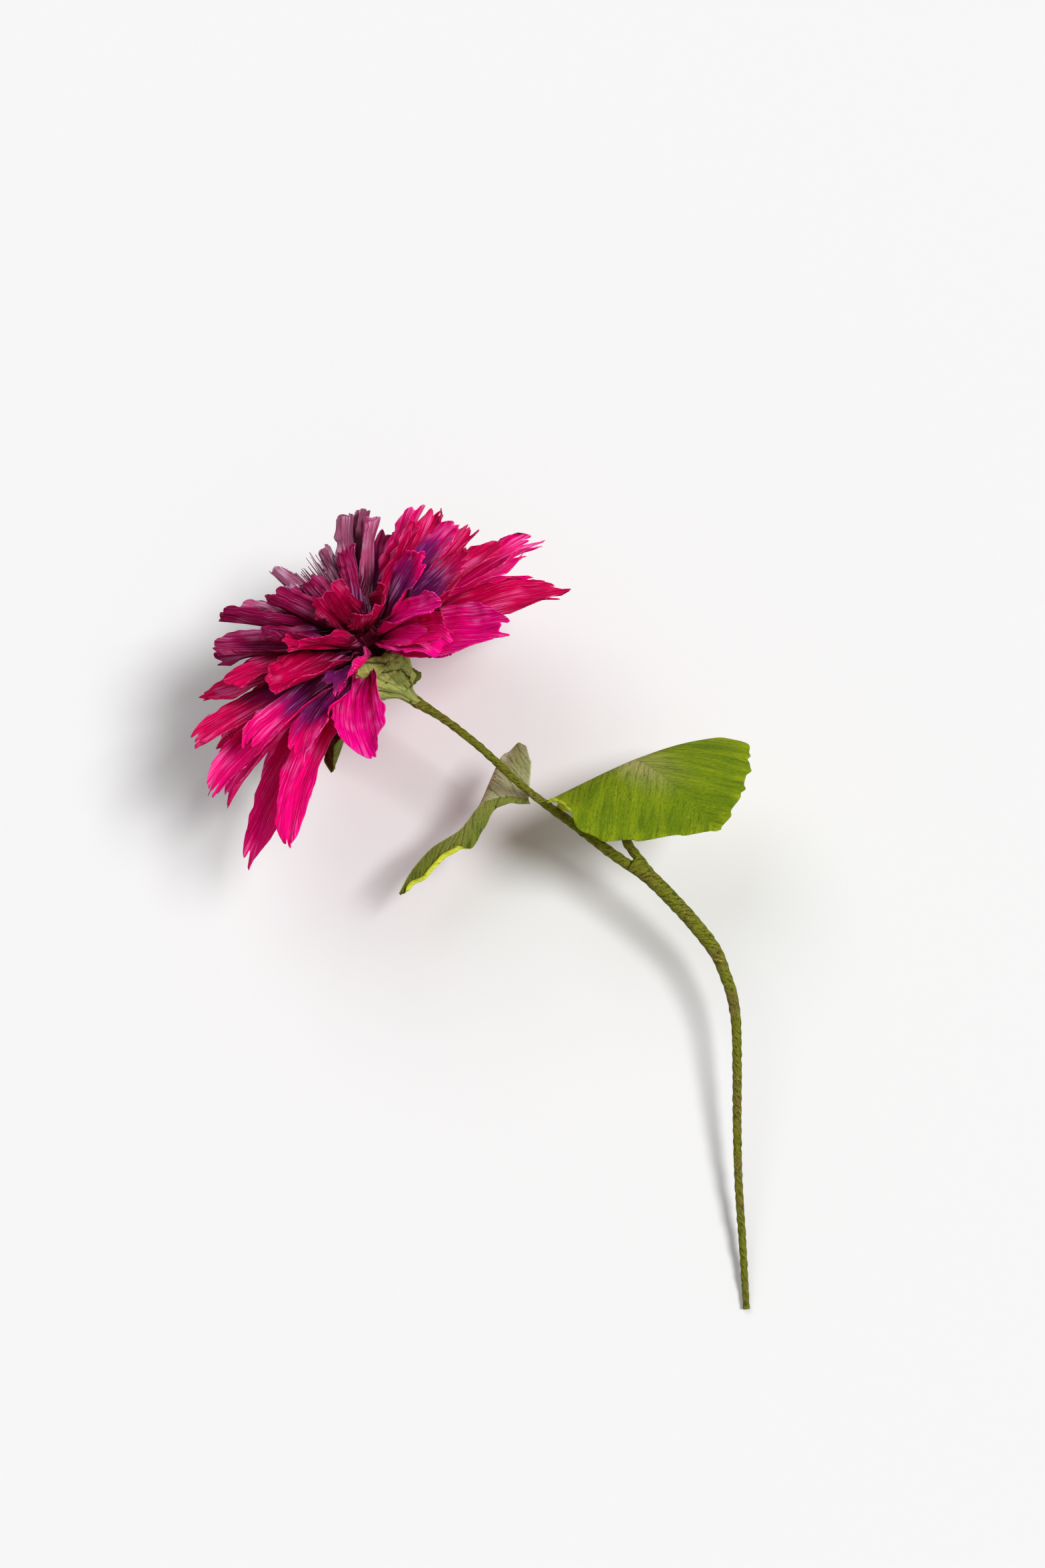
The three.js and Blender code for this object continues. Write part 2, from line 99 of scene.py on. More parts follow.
# Each lamp: place it shines from, spread in degrees and strength
LAMPS = {
    "key": ((2.1, 0.0, 3.45), 18, 2.65),
    "fill": ((-0.5, 0.9, 1.5), 40, 0.75),
}
ROOM_LIGHT = 0.25
ROOM_SEEN = 0.95
FLOOR_SIZE = 8
FLOOR_DROP = 0.0002

# Each leaf half: its width and the way it spreads, against the share along the midrib
FRONT_MIDRIB = [
    (63.2, -37.5, -2), (62.8, -30, -4), (64.3, -23.4, -1.5), (67.4, -19.6, 3.5), (74, -23, 11), (82, -30, 17),
    (91.4, -40.2, 21),
]
FRONT_RIGHT_WIDTHS = [
    (0, 3), (0.2, 15), (0.36, 23), (0.46, 26), (0.56, 28.5), (0.64, 26), (0.66, 24), (0.74, 21.5), (0.76, 19),
    (0.84, 15.5), (0.86, 12.5), (0.94, 7), (1, 1),
]
FRONT_RIGHT_OUT = [(0, (0.93, 0.3, -0.2)), (0.4, (0.93, 0.37, -0.1)), (1, (0.93, 0.37, 0))]
FRONT_LEFT_WIDTHS = [
    (0, 3), (0.2, 20), (0.36, 28), (0.42, 29.5), (0.56, 30), (0.7, 31), (0.8, 28.5), (0.88, 21), (0.95, 9.5),
    (1, 1),
]
FRONT_LEFT_OUT = [(0, (-0.93, -0.3, 0.05)), (0.4, (-0.93, -0.37, 0.16)), (1, (-0.93, -0.37, 0.05))]
BACK_MIDRIB = [
    (36.2, -31.2, -3.6), (29, -30.4, -9), (22, -32.8, -13), (15.4, -40.6, -15), (6.6, -46.4, -15.5),
    (0.4, -53.5, -14), (-3.2, -60, -12),
]
BACK_UPPER_WIDTHS = [(0, 13), (0.06, 18), (0.13, 19), (0.22, 16), (0.31, 9), (0.5, 9.5), (0.8, 7), (1, 0.9)]
BACK_UPPER_OUT = [
    (0, (0.05, 0.92, -0.4)), (0.24, (0.1, 0.92, -0.4)), (0.42, (0.25, 0.1, -0.96)), (1, (0.3, -0.1, -0.95)),
]
BACK_LOWER_WIDTHS = [(0, 1.5), (0.1, 2.5), (0.25, 4), (0.4, 6.5), (0.6, 9), (0.8, 9), (0.92, 6), (1, 0.9)]
BACK_LOWER_OUT = [(0, (0.1, -0.6, 0.3)), (0.3, (0.4, -0.46, 0.62)), (1, (0.46, -0.54, 0.66))]

# How a leaf half is cut and curled, and each half: its node, measures, droop to the margin and own changes
LEAF_LOOK = dict(side=1, teeth=0.5, teeth_count=9, curl=0, curl_from=(0, 1), wave=0.8, waves=2.2)
LEAF_HALVES = [
    ("front_leaf_left", FRONT_MIDRIB, FRONT_LEFT_WIDTHS, FRONT_LEFT_OUT, 0.05,
     dict(seed=11, side=-1, curl=2.2, curl_from=(0.36, 0.66), teeth=0.4)),
    ("front_leaf_right", FRONT_MIDRIB, FRONT_RIGHT_WIDTHS, FRONT_RIGHT_OUT, -0.12,
     dict(seed=12, teeth=0.6, teeth_count=6)),
    ("back_leaf_upper", BACK_MIDRIB, BACK_UPPER_WIDTHS, BACK_UPPER_OUT, 0.1, dict(seed=13, side=-1)),
    ("back_leaf_lower", BACK_MIDRIB, BACK_LOWER_WIDTHS, BACK_LOWER_OUT, -0.15,
     dict(seed=14, curl=3.2, curl_from=(0.5, 1.0), wave=0.3, teeth=0.15)),
]

# Calyx: height above the neck against radius, and how far its top sags
CALYX_PROFILE = [(-4, 1.6), (-1, 1.9), (0.6, 2.4), (2.2, 3.3), (5, 5.3), (8.4, 7.2), (12, 8.2), (16, 9.2)]
CALYX_SAG = 2.4
CALYX_FACET = 26

# Each calyx strip: name, start and sweep round the cup, its lower and upper edge, and how far it stands off
CALYX_WRAPS = [
    ("calyx_cone", 0, 360, (-3.5, -3.5), (13.5, 13.5), 0.0),
    ("calyx_wrap_1", -20, 150, (6.5, 8.0), (12.5, 12.0), 1.1),
    ("calyx_wrap_2", 92, 190, (2.5, 4.0), (12.5, 12.0), 0.6),
    ("calyx_wrap_3", 250, 140, (2.5, 4.0), (11.0, 13.0), 0.6),
    ("calyx_wrap_4", -40, 230, (12.0, 10.5), (16.5, 16.0), 1.7),
]

# Distances of the petals', sepals' and heart petals' seats from the head's axis
SEAT = 6.2
SEPAL_SEAT = 8.8
HEART_SEAT = 5.1

# Each sepal: turn about the axis, rise above square to it, length, and its own changes
SEPAL_ROW = dict(width=10, curl=-24, cup=30, show=0, fray=2.0, blunt=0.3, dye=0.0, height=11)
SEPALS = [
    (24, -30, 30, dict(width=13, tip=0, blunt=0.1)),
    (152, -86, 9.5, dict(width=9, radius=3.2, blunt=0.75, fray=0.6, tip=0, fold=0)),
    (149, 13, 20, dict(width=8, curl=-4, tip=0)),
    (220, -30, 24, {}),
    (300, -18, 24, {}),
]

# Rows from the calyx up, each petal given as a sepal is; a petal's own tone value, where given, near 0 paints
# it in the brighter colour of full light and high paints it darker as shade, and its shaded share sets how
# far up from its seat its painted shade reaches
PETAL_ROWS = [
    dict(
        name="outer", slot="petal_magenta", dye=0.2, height=13.6, width=16.5, curl=-30, cup=28, show=40,
        fray=10, blunt=0.28,
        petals=[
            (2, -23, 71, dict(blunt=0.1, widest=0.44, dye=0.12, strands=3, tip=5)),
            (28, -22, 63, dict(
                width=12.5, blunt=0.12, widest=0.56, dye=0.1, strands=3, fray=6, tint=0.1, sweep=2.2,
            )),
            (58, -21, 48, dict(
                roll=-12, blunt=0.06, widest=0.5, dye=0.05, strands=3, fray=5, tip=-6, sweep=11, tint=0.0,
                shaded=0.36,
            )),
            (123, -13, 57, dict(
                width=19, dye=0.0, fray=7, tip=14, blunt=0.22, strands=4, tint=0.03, shaded=0.36,
            )),
            (158, -16, 59, dict(roll=26, dye=0.05, paper="petal_crimson")),
            (200, -18, 58, {}),
            (246, -12, 62.5, {}),
            (297, -12, 62.9, {}),
            (334, -17, 62, {}),
        ],
    ),
    dict(
        name="second", slot="petal_magenta", dye=0.3, height=16, width=16, curl=-20, cup=30, show=34,
        fray=9, blunt=0.3,
        petals=[
            (14, -2, 62, dict(dye=0.35)),
            (35, 1, 52, dict(roll=-24, dye=0.6)),
            (44, -8, 47, dict(width=13.5, roll=-18, lift=-0.9, dye=0.68)),
            (74, 3, 44, dict(width=13, dye=0.85, hem=1.6)),
            (116, -5, 42, dict(width=14, dye=0.0, shaded=0.36)),
            (171, -2, 56, dict(roll=18, dye=0.05)),
            (222, -2, 53, {}),
            (271, -1, 46, {}),
            (316, -2, 55, {}),
            (345, -10, 65, dict(roll=-16)),
        ],
    ),
    dict(
        name="third", slot="petal_crimson", dye=0.4, height=18.4, width=15.5, curl=-12, cup=32, show=28,
        fray=6, blunt=0.32,
        petals=[
            (9, 9, 56, dict(roll=-22, dye=0.55)),
            (49, 13, 42, dict(roll=-34, width=17, dye=0.15, hem=-1.4, fray=3)),
            (113, -12, 39, dict(
                width=15, dye=0.0, curl=-30, tip=-50, fray=2, paper="petal_magenta", tint=0.0, shaded=0.3,
            )),
            (144, 8, 43, dict(roll=32, width=13, dye=0.8, tint=0.1)),
            (188, 11, 45, dict(dye=0.5)),
            (235, 12, 46, {}),
            (282, 8, 46, {}),
            (347, 3, 55, {}),
        ],
    ),
    dict(
        name="fourth", slot="petal_crimson", dye=0.4, height=20.8, width=14.5, curl=-6, cup=36, show=22,
        fray=4, blunt=0.36,
        petals=[
            (357, 18, 48, dict(roll=-20)),
            (24, 24, 42, dict(roll=-32, dye=0.2)),
            (63, 24, 37, dict(roll=-30, dye=0.4)),
            (121, -1, 40, dict(
                width=13, dye=0.0, lift=-0.6, curl=-16, tip=-4, fray=3, paper="petal_magenta", tint=0.0,
                shaded=0.3,
            )),
            (139, 21, 35, dict(roll=44, width=12.5, dye=0.75, paper="petal_magenta", tint=0.05)),
            (167, 18, 40, dict(roll=36, dye=0.8, paper="petal_magenta", tint=0.15)),
            (204, 22, 44, dict(dye=0.4)),
            (255, 20, 42, {}),
            (308, 20, 42, {}),
        ],
    ),
    dict(
        name="fifth", slot="petal_plum", dye=0.6, height=23, width=13.5, curl=0, cup=42, show=16,
        fray=2.5, blunt=0.5,
        petals=[
            (8, 36, 40, dict(roll=-30)),
            (42, 34, 33, dict(roll=-34, dye=0.4)),
            (88, 35, 32, dict(
                paper="petal_crimson", dye=0.1, fray=1.2, widest=0.66, width=14.5, tint=0.9, shaded=0.85,
            )),
            (107, 13, 31, dict(
                paper="petal_crimson", dye=0.35, hem=1.4, width=16.5, blunt=0.6, tint=0.8, shaded=0.8,
            )),
            (153, 31, 35, dict(paper="petal_crimson", dye=0.45, hem=1.4)),
            (188, 33, 38, dict(paper="petal_magenta", dye=0.55)),
            (341, 30, 41, {}),
        ],
    ),
]

# The heart's rolled petals: turn, rise, length, paper and own changes
HEART_RUFFLE = 0.4
HEART = dict(height=26, width=12, curl=4, cup=70, show=0, dye=0.5, fray=1.4, blunt=0.8)
HEART_PETALS = [
    (10, 46, 37, "petal_plum", dict(width=14, cup=66)),
    (350, 51, 32, "petal_blush", dict(width=13, cup=48)),
    (34, 60, 27, "petal_plum", dict(width=13, cup=66)),
    (64, 76, 21, "petal_plum", dict(width=11, cup=80)),
    (2, 80, 29, "petal_dark", dict(width=9.5, cup=140)),
    (26, 74, 23, "petal_dark", dict(width=9, cup=120)),
    (186, 84, 25, "petal_dark", dict(width=9, cup=135)),
    (179, 63, 31, "petal_dark", dict(width=14, cup=112, curl=-16)),
    (197, 53, 32, "petal_dark", dict(width=13, cup=112, curl=-10)),
    (169, 51, 30, "petal_blush", dict(width=12, cup=54)),
    (152, 64, 23, "petal_plum", dict(width=12, cup=120)),
    (226, 40, 28, "petal_plum", dict(width=14)),
    (246, 60, 22, "petal_dark", dict(cup=115)),
    (272, 32, 28, "petal_plum", dict(width=14)),
    (296, 60, 21, "petal_dark", dict(cup=115)),
    (318, 38, 30, "petal_plum", dict(width=14)),
    (334, 66, 23, "petal_dark", dict(cup=115)),
]

# Petals that fill the gaps between the measured ones: row, turn, rise, length
TUCKED_OWN = dict(width=12.5, lift=-1.1)
TUCKED = [
    ("outer", 222, -15, 52), ("outer", 318, -15, 54), ("second", 196, -5, 54), ("second", 246, -3, 50),
    ("second", 292, -3, 52), ("third", 166, 3, 46), ("third", 212, 8, 45), ("third", 259, 8, 45),
    ("third", 305, 8, 46), ("third", 327, 6, 50), ("fourth", 229, 20, 42), ("fourth", 281, 20, 42),
    ("fourth", 333, 20, 44), ("fifth", 226, 33, 36), ("fifth", 264, 33, 36), ("fifth", 302, 33, 37),
]

# The strip wound round the wire that carries the petals' seats
CORE_RADIUS = 5.7
CORE_TURNS = 3
CORE_LAP = 0.35
CORE_FROM = 9.5
CORE_HALF_HEIGHT = 9.5

# The centre's fringe: where its strands start, and how they spread from the middle to the outside
FRINGE_SEAT = 28.5
FRINGE_TURN = 2.399
FRINGE_INNER = 0.6
FRINGE_SPREAD = 4.6
FRINGE_LENGTH = 21
FRINGE_SHORTER = 6

# The crepe's own measures, then the colour and reach of the painted shade
WIDEST_AT = 0.6
GATHER = 0.12
STRAND = 1.25
NICKS = 23
NICK_DEPTH = 0.14
KINKS = 13
CURL_RADIUS = 0.9
# Near-black colour of the painted shade in the crepe's furrows and at the petals' seats
PAINTED_SHADE = (0.045, 0.0, 0.002)
# Share of a petal's length up from its seat that gets painted shade
SHADED = 0.56

# How often each paper's pattern repeats in a millimetre across and along its threads
PETAL_RATES = dict(sway=(0.2, 0.08), ridges=(1.75, 0.035), creases=(3.8, 0.12), patch=(0.13, 0.07))
LEAF_RATES = dict(ridges=(1.1, 0.1), flecks=(3.4, 0.8), bands=(0.28, 0.03), patch=(0.09, 0.09))
WRAP_RATES = dict(patch=(0.25, 0.12), flecks=(3.0, 1.4))

# How many rows each kind of sheet has along and across it
GRIDS = dict(
    petal=(56, 36), tucked=(44, 28), heart=(36, 32), sepal=(36, 24), strand=(7, 2), core=(120, 24),
    calyx_ring=(160, 28), calyx_strip=(100, 28), leaf=(110, 56),
)

# Where the random draws of each kind of piece start
SEEDS = dict(measures=1000, tucked=200, heart=400, sepals=500, fringe=7, calyx=31)

# A full turn to two places, which the waves' phases are drawn with
FULL_TURN = 6.28
WELD_GAP = 0.00001


def linear(colour):
    """A colour written as six hex digits, as linear red, green and blue."""
    parts = [int(colour[k:k + 2], 16) / 255 for k in (0, 2, 4)]
    return tuple(p / 12.92 if p <= 0.04045 else ((p + 0.055) / 1.055) ** 2.4 for p in parts)


def colour_prop(name, description, default):
    return bpy.props.FloatVectorProperty(
        name=name, description=description, default=linear(default), subtype="COLOR", min=0, max=1,
    )


class DahliaColours(bpy.types.PropertyGroup):
    """The papers' colours."""

    magenta: colour_prop("Magenta", "Lit face of the outer petals", "ff0080")
    # The deep colours give darker patches at random, and mixed with near-black they make the petals' painted
    # seat shade
    magenta_deep: colour_prop("Deep magenta", "Darker patches of the outer petals", "ea0054")
    # Painted light: the brighter pink taken by the outer petals that are lit most
    hot_pink: colour_prop("Hot pink", "Freshest outer petals", "ff0094")
    crimson: colour_prop("Crimson", "Lit face of the middle petals", "e4005a")
    crimson_deep: colour_prop("Deep crimson", "Darker patches of the middle petals", "92002c")
    plum: colour_prop("Plum", "Inner petals", "9a0d4d")
    plum_deep: colour_prop("Deep plum", "Darker patches of the inner petals", "5a022c")
    heart: colour_prop("Heart", "Rolled petals of the heart", "a75879")
    heart_deep: colour_prop("Deep heart", "Darker patches of the heart", "5f1d3b")
    blush: colour_prop("Blush", "Pinker rolled petals of the heart", "c65888")
    dye: colour_prop("Dye", "Purple dye that runs up from the petals' seats", "801a72")
    # Painted highlights: these pale colours are laid on the petals' ridge tops as light catching them, and
    # the rim colours also give the pale cut edges
    rim: colour_prop("Bloom", "Pale bloom on the creases and cut edges of the outer petals", "ff84d4")
    crimson_sheen_and_edge: colour_prop("Crimson bloom", "Bloom of the middle petals", "ff74c0")
    plum_sheen_and_edge: colour_prop("Plum bloom", "Bloom of the inner petals", "ca6ea3")
    lavender_sheen: colour_prop("Lavender", "Pale bloom on the dyed part of the petals", "f2b4f4")
    heart_sheen_and_edge: colour_prop("Heart bloom", "Grey bloom on the creases and cut edges of the heart", "e6c8e5")
    leaf: colour_prop("Leaf", "Upper face of the front leaf", "637d0b")
    # Painted shade in the leaves' furrows; it is also the sepals' own green
    leaf_deep: colour_prop("Deep leaf", "Furrows of the front leaf", "4c610b")
    leaf_streak: colour_prop("Leaf streak", "Yellow streaks toward the leaves' margins", "9aa914")
    # Painted sheen: grey laid along the front leaf's fold where light catches it; it also lightens the
    # leaves' flecks and the calyx's flecks and lap edges
    grey_sheen_and_flecks: colour_prop("Leaf bloom", "Grey bloom along the front leaf's fold", "b0a772")
    leaf_under: colour_prop("Leaf underside", "Lime underside of the leaves", "e0e946")
    # Painted light: the back leaf's upper half is painted paler and greyer than its lower half, as the light
    # it catches
    back_leaf: colour_prop("Back leaf", "Upper face of the back leaf", "b0bb76")
    back_leaf_sheen: colour_prop("Back leaf bloom", "Grey bloom of the back leaf", "d6d6b0")
    calyx: colour_prop("Calyx", "Gathered wraps under the petals", "bcc56c")
    # Painted shade in the calyx's creases and folds and in the furrows of the sepals and the back leaf's
    # lower half
    calyx_deep: colour_prop("Deep calyx", "Valleys of the calyx pleats", "2a2c0f")
    calyx_green: colour_prop("Calyx green", "Greener patches of the calyx", "788436")
    stem: colour_prop("Stem", "Wrapped stem", "72751f")
    # Painted shade in the wrapped stem's creases
    stem_deep: colour_prop("Deep stem", "Creases of the wrapped stem", "2e2e09")
    stem_brown: colour_prop("Stem brown", "Brown mottle on the stem", "756335")
    wire: colour_prop("Wire", "Drawn steel of the wires", "7d7c78")
    wire_bright: colour_prop("Bright wire", "Brighter streaks of the wires", "b4b2ac")
    floor: colour_prop("Floor", "Pale floor", "e6e6e6")


class DahliaSizes(bpy.types.PropertyGroup):
    """The papers' thickness and how they were handled."""

    paper: bpy.props.FloatProperty(
        name="Paper", description="Thickness of the crepe paper", default=0.00024, unit="LENGTH", min=0.0001,
        max=0.001,
    )
    ruffle: bpy.props.FloatProperty(
        name="Ruffle", description="How far petal edges wave out of the sheet", default=0.0011, unit="LENGTH",
        min=0, max=0.004,
    )
    fray: bpy.props.FloatProperty(
        name="Fray", description="Share of each row's fray length that is cut", default=1, subtype="FACTOR",
        min=0, max=1.5,
    )
    strands: bpy.props.IntProperty(
        name="Fringe strands", description="Strands in the centre's fringe", default=84, min=12, max=200,
    )


def smooth(x):
    """Ease from 0 to 1 as x goes from 0 to 1."""
    x = np.clip(x, 0, 1)
    return x * x * (3 - 2 * x)


def ramp(pairs, x):
    """Values or directions at each of x, eased between (position, value) pairs."""
    at = np.array([position for position, _ in pairs], float)
    values = np.array([value for _, value in pairs], float)
    after = np.clip(np.searchsorted(at, x), 1, len(at) - 1)
    share = smooth((x - at[after - 1]) / (at[after] - at[after - 1]))
    if values.ndim > 1:
        share = share[..., None]
    return values[after - 1] + (values[after] - values[after - 1]) * share


def unit(vectors):
    return vectors / np.linalg.norm(vectors, axis=-1, keepdims=True)


class Line:
    """A smooth curve through chosen points, read by the distance along it."""

    STEPS = 48
    STRIDE = 0.3

    def __init__(self, points):
        chosen = np.array(points, float)
        run = np.vstack([2 * chosen[0] - chosen[1], chosen, 2 * chosen[-1] - chosen[-2]])
        gaps = np.sqrt(np.linalg.norm(np.diff(run, axis=0), axis=1))
        share = np.linspace(0, 1, self.STEPS, endpoint=False)[:, None]
        places = []
        for k in range(1, len(run) - 2):
            before, start, end, after = run[k - 1:k + 3]
            g0, g1, g2 = gaps[k - 1:k + 2]
            leave = g1 * ((start - before) / g0 - (end - before) / (g0 + g1) + (end - start) / g1)
            arrive = g1 * ((end - start) / g1 - (after - start) / (g1 + g2) + (after - end) / g2)
            cubic = 2 * start - 2 * end + leave + arrive
            square = 3 * end - 3 * start - 2 * leave - arrive
            places.append(start + share * (leave + share * (square + share * cubic)))
        self.places = np.vstack(places + [run[-2:-1]])
        steps = np.linalg.norm(np.diff(self.places, axis=0), axis=1)
        self.distances = np.concatenate([[0], np.cumsum(steps)])
        self.length = self.distances[-1]

    def at(self, distance):
        return np.stack([np.interp(distance, self.distances, self.places[:, k]) for k in range(3)], axis=-1)

    def heading(self, distance):
        ahead = self.at(np.minimum(distance + self.STRIDE, self.length))
        return unit(ahead - self.at(np.maximum(distance - self.STRIDE, 0)))


REST_TURN = np.array(REST)
STEM_END_AT = np.array(frame["record"]["mounts"][0]["pos_m"])
REST_SHIFT = STEM_END_AT - REST_TURN @ np.array(STEM_POINTS[-1]) * MM
HEAD_AXIS = np.array([
    -math.sin(HEAD_LEAN) * math.cos(HEAD_NOD), math.cos(HEAD_LEAN) * math.cos(HEAD_NOD), math.sin(HEAD_NOD),
])
HEAD_LEFT = np.array([-math.cos(HEAD_LEAN), -math.sin(HEAD_LEAN), 0])
HEAD = np.stack([HEAD_LEFT, np.cross(HEAD_AXIS, HEAD_LEFT), HEAD_AXIS])
STEM_LINE = Line([HEAD_AXIS * WIRE_IN_HEAD, HEAD_AXIS * 12, HEAD_AXIS * 3] + STEM_POINTS)
# How far along the stem's line the neck lies
NECK = WIRE_IN_HEAD


def laid(points):
    """Layout millimetres as metres on the floor."""
    return np.asarray(points) @ REST_TURN.T * MM + REST_SHIFT


def on_head(points):
    """Millimetres in the flower head's own frame as metres on the floor."""
    return laid(np.asarray(points) @ HEAD)


class Shade:
    """One socket of a finish, with arithmetic that adds Math nodes."""

    def __init__(self, finish, socket):
        self.finish = finish
        self.socket = socket

    def math(self, operation, first, second):
        return self.finish.node("ShaderNodeMath", {"operation": operation}, {0: first, 1: second})

    def __add__(self, other):
        return self.math("ADD", self, other)

    def __radd__(self, other):
        return self.math("ADD", other, self)

    def __sub__(self, other):
        return self.math("SUBTRACT", self, other)

    def __mul__(self, other):
        return self.math("MULTIPLY", self, other)

    def __truediv__(self, other):
        return self.math("DIVIDE", self, other)

    def between(self, low, high):
        """0 at low, 1 at high, eased between them."""
        return self.finish.node(
            "ShaderNodeMapRange", {"interpolation_type": "SMOOTHSTEP"},
            {"Value": self, "From Min": low, "From Max": high},
        )


class Finish:
    """A material of one Principled shader, built up node by node."""

    def __init__(self, name):
        self.material = bpy.data.materials.new(name)
        self.material.use_nodes = True
        self.tree = self.material.node_tree
        self.shader = self.tree.nodes["Principled BSDF"]

    def node(self, kind, settings, sockets, output=0):
        made = self.tree.nodes.new(kind)
        for name, value in settings.items():
            setattr(made, name, value)
        for name, value in sockets.items():
            self.join(made.inputs[name], value)
        return Shade(self, made.outputs[output])

    def join(self, socket, value):
        if isinstance(value, Shade):
            self.tree.links.new(value.socket, socket)
        else:
            socket.default_value = value

    def set(self, **sockets):
        """Give the shader its sockets, with spaces in their names written as underscores."""
        for name, value in sockets.items():
            self.join(self.shader.inputs[name.replace("_", " ")], value)

    def mark(self, name):
        return self.node("ShaderNodeAttribute", {"attribute_name": name}, {}, "Fac")

    def vector(self, x, y, z=0.0):
        return self.node("ShaderNodeCombineXYZ", {}, {"X": x, "Y": y, "Z": z})

    def noise(self, vector, scale, detail, roughness=0.5):
        sockets = {"Vector": vector, "Scale": scale, "Detail": detail, "Roughness": roughness}
        return self.node("ShaderNodeTexNoise", {}, sockets)

    def grained(self, across, along, rate, layer, detail, roughness=0.5):
        """Noise on the flat paper, at a rate across and along its threads."""
        return self.noise(self.vector(across * rate[0], along * rate[1], layer), 1.0, detail, roughness)

    def mix(self, share, first, second):
        """Two colours mixed by a share."""
        sockets = {0: share, 6: opaque(first), 7: opaque(second)}
        return self.node("ShaderNodeMix", {"data_type": "RGBA"}, sockets, 2)

    def bump(self, height, distance, strength):
        made = self.node("ShaderNodeBump", {}, {"Height": height, "Distance": distance, "Strength": strength})
        self.set(Normal=made)


def opaque(colour):
    return colour if isinstance(colour, Shade) else (*colour, 1.0)


def petal_finish(name, lit, deep, dye, rim, lavender_sheen, dyed, furrow_shade_depth=0.74, highlight_strength=1.2, full_light_pink=None):
    """Crepe petal paper: lengthwise creases, purple dye up from the seat and a pale cut edge, with painted
    shade in the furrows and at the seat and painted highlights on the ridges.
    """
    paper = Finish(name)
    along = paper.mark("along")
    grain = paper.mark("grain")
    reach = paper.mark("reach")
    tint = paper.mark("tint")
    sway = paper.grained(grain, reach, PETAL_RATES["sway"], tint * 71, 2.0)
    thread = grain + sway * 0.8
    ridges = paper.grained(thread, reach, PETAL_RATES["ridges"], tint * 31, 3.0, 0.55)
    creases = paper.grained(thread, reach, PETAL_RATES["creases"], tint * 17, 2.0, 0.6)
    patch = paper.grained(grain, reach, PETAL_RATES["patch"], tint * 53, 2.0)
    # Painted shade in the furrows between the crepe's ridges, laid on below
    furrow = ridges.between(0.5, 0.34) * 0.5 + creases.between(0.45, 0.32) * 0.4
    # Darker patches at random, and a petal's own tone, drawn at random unless given: given high, it is
    # painted shade
    shade = patch.between(0.42, 0.7) * 0.3 + tint.between(0.3, 1.0) * 0.25
    colour = paper.mix(shade, lit, deep)
    # Painted light: petals whose tone value is near 0 take the brighter pink of full light
    if full_light_pink is not None:
        colour = paper.mix(tint.between(0.06, 0.0), colour, full_light_pink)
    if dyed:
        edge = paper.mark("dye") + (ridges - 0.5) * 0.55 + (patch - 0.5) * 0.6
        run = (along - edge).between(0.14, -0.2)
        colour = paper.mix(run, colour, dye)
    # Painted shade: each petal darkens toward its seat, over its shaded share of its length
    seat = (along / paper.mark("shaded")).between(1.0, 0.18)
    colour = paper.mix(seat * 0.92, colour, paper.mix(0.75, deep, PAINTED_SHADE))
    # Painted shade in the furrows
    colour = paper.mix(furrow, colour, paper.mix(furrow_shade_depth, colour, PAINTED_SHADE))
    # Painted highlight: a pale colour, lavender on the dyed part, laid on the ridge tops where light would
    # catch the crepe
    pale = paper.mix(run, rim, lavender_sheen) if dyed else rim
    sheen = patch.between(0.5, 0.34) * 0.44 + creases.between(0.54, 0.7) * 0.42
    colour = paper.mix(sheen * ridges.between(0.42, 0.6) * highlight_strength, colour, pale)
    cut = paper.mark("rim").between(0.25, 0.05) * creases.between(0.4, 0.62) * 0.2
    colour = paper.mix(cut, colour, rim)
    paper.set(Base_Color=colour, Roughness=0.66 + ridges * 0.2, Specular_IOR_Level=0.05)
    paper.bump(ridges + creases * 0.6, 0.0008, 1.0)
    return paper.material


def leaf_finish(name, lit, deep, streak, sheen, greyed):
    """Leaf crepe: grain that slants out from the midrib, yellow streaks, a grey painted sheen by the fold and
    painted shade in the furrows.
    """
    paper = Finish(name)
    along = paper.mark("reach")
    out = paper.mark("grain")
    rim = paper.mark("rim")
    across = along * 0.66 - out * 0.75
    down = along * 0.75 + out * 0.66
    ridges = paper.grained(across, down, LEAF_RATES["ridges"], 0.0, 3.0, 0.6)
    flecks = paper.grained(across, down, LEAF_RATES["flecks"], 7.0, 3.0, 0.65)
    bands = paper.grained(across, down, LEAF_RATES["bands"], 3.0, 3.0)
    patch = paper.grained(along, out, LEAF_RATES["patch"], 11.0, 3.0)
    colour = paper.mix(bands.between(0.35, 0.7) * 0.5 + patch.between(0.4, 0.7) * 0.3, lit, streak)
    margin = rim.between(7.0, 0.6) * bands.between(0.3, 0.6) * 0.7
    colour = paper.mix(margin, colour, streak)
    # Painted sheen: grey along the fold by the midrib, where the light catches it
    fold = out.between(12.0, 0.5) * along.between(46.0, 24.0)
    colour = paper.mix(fold * greyed, colour, sheen)
    # Painted shade in the crepe's furrows
    furrow = ridges.between(0.54, 0.34) * 0.55 + flecks.between(0.48, 0.32) * 0.55
    colour = paper.mix(furrow, colour, deep)
    colour = paper.mix(flecks.between(0.56, 0.7) * 0.45, colour, paper.mix(0.5, streak, sheen))
    paper.set(Base_Color=colour, Roughness=0.64 + ridges * 0.2, Specular_IOR_Level=0.08)
    paper.bump(ridges + flecks * 0.7, 0.0006, 0.9)
    return paper.material


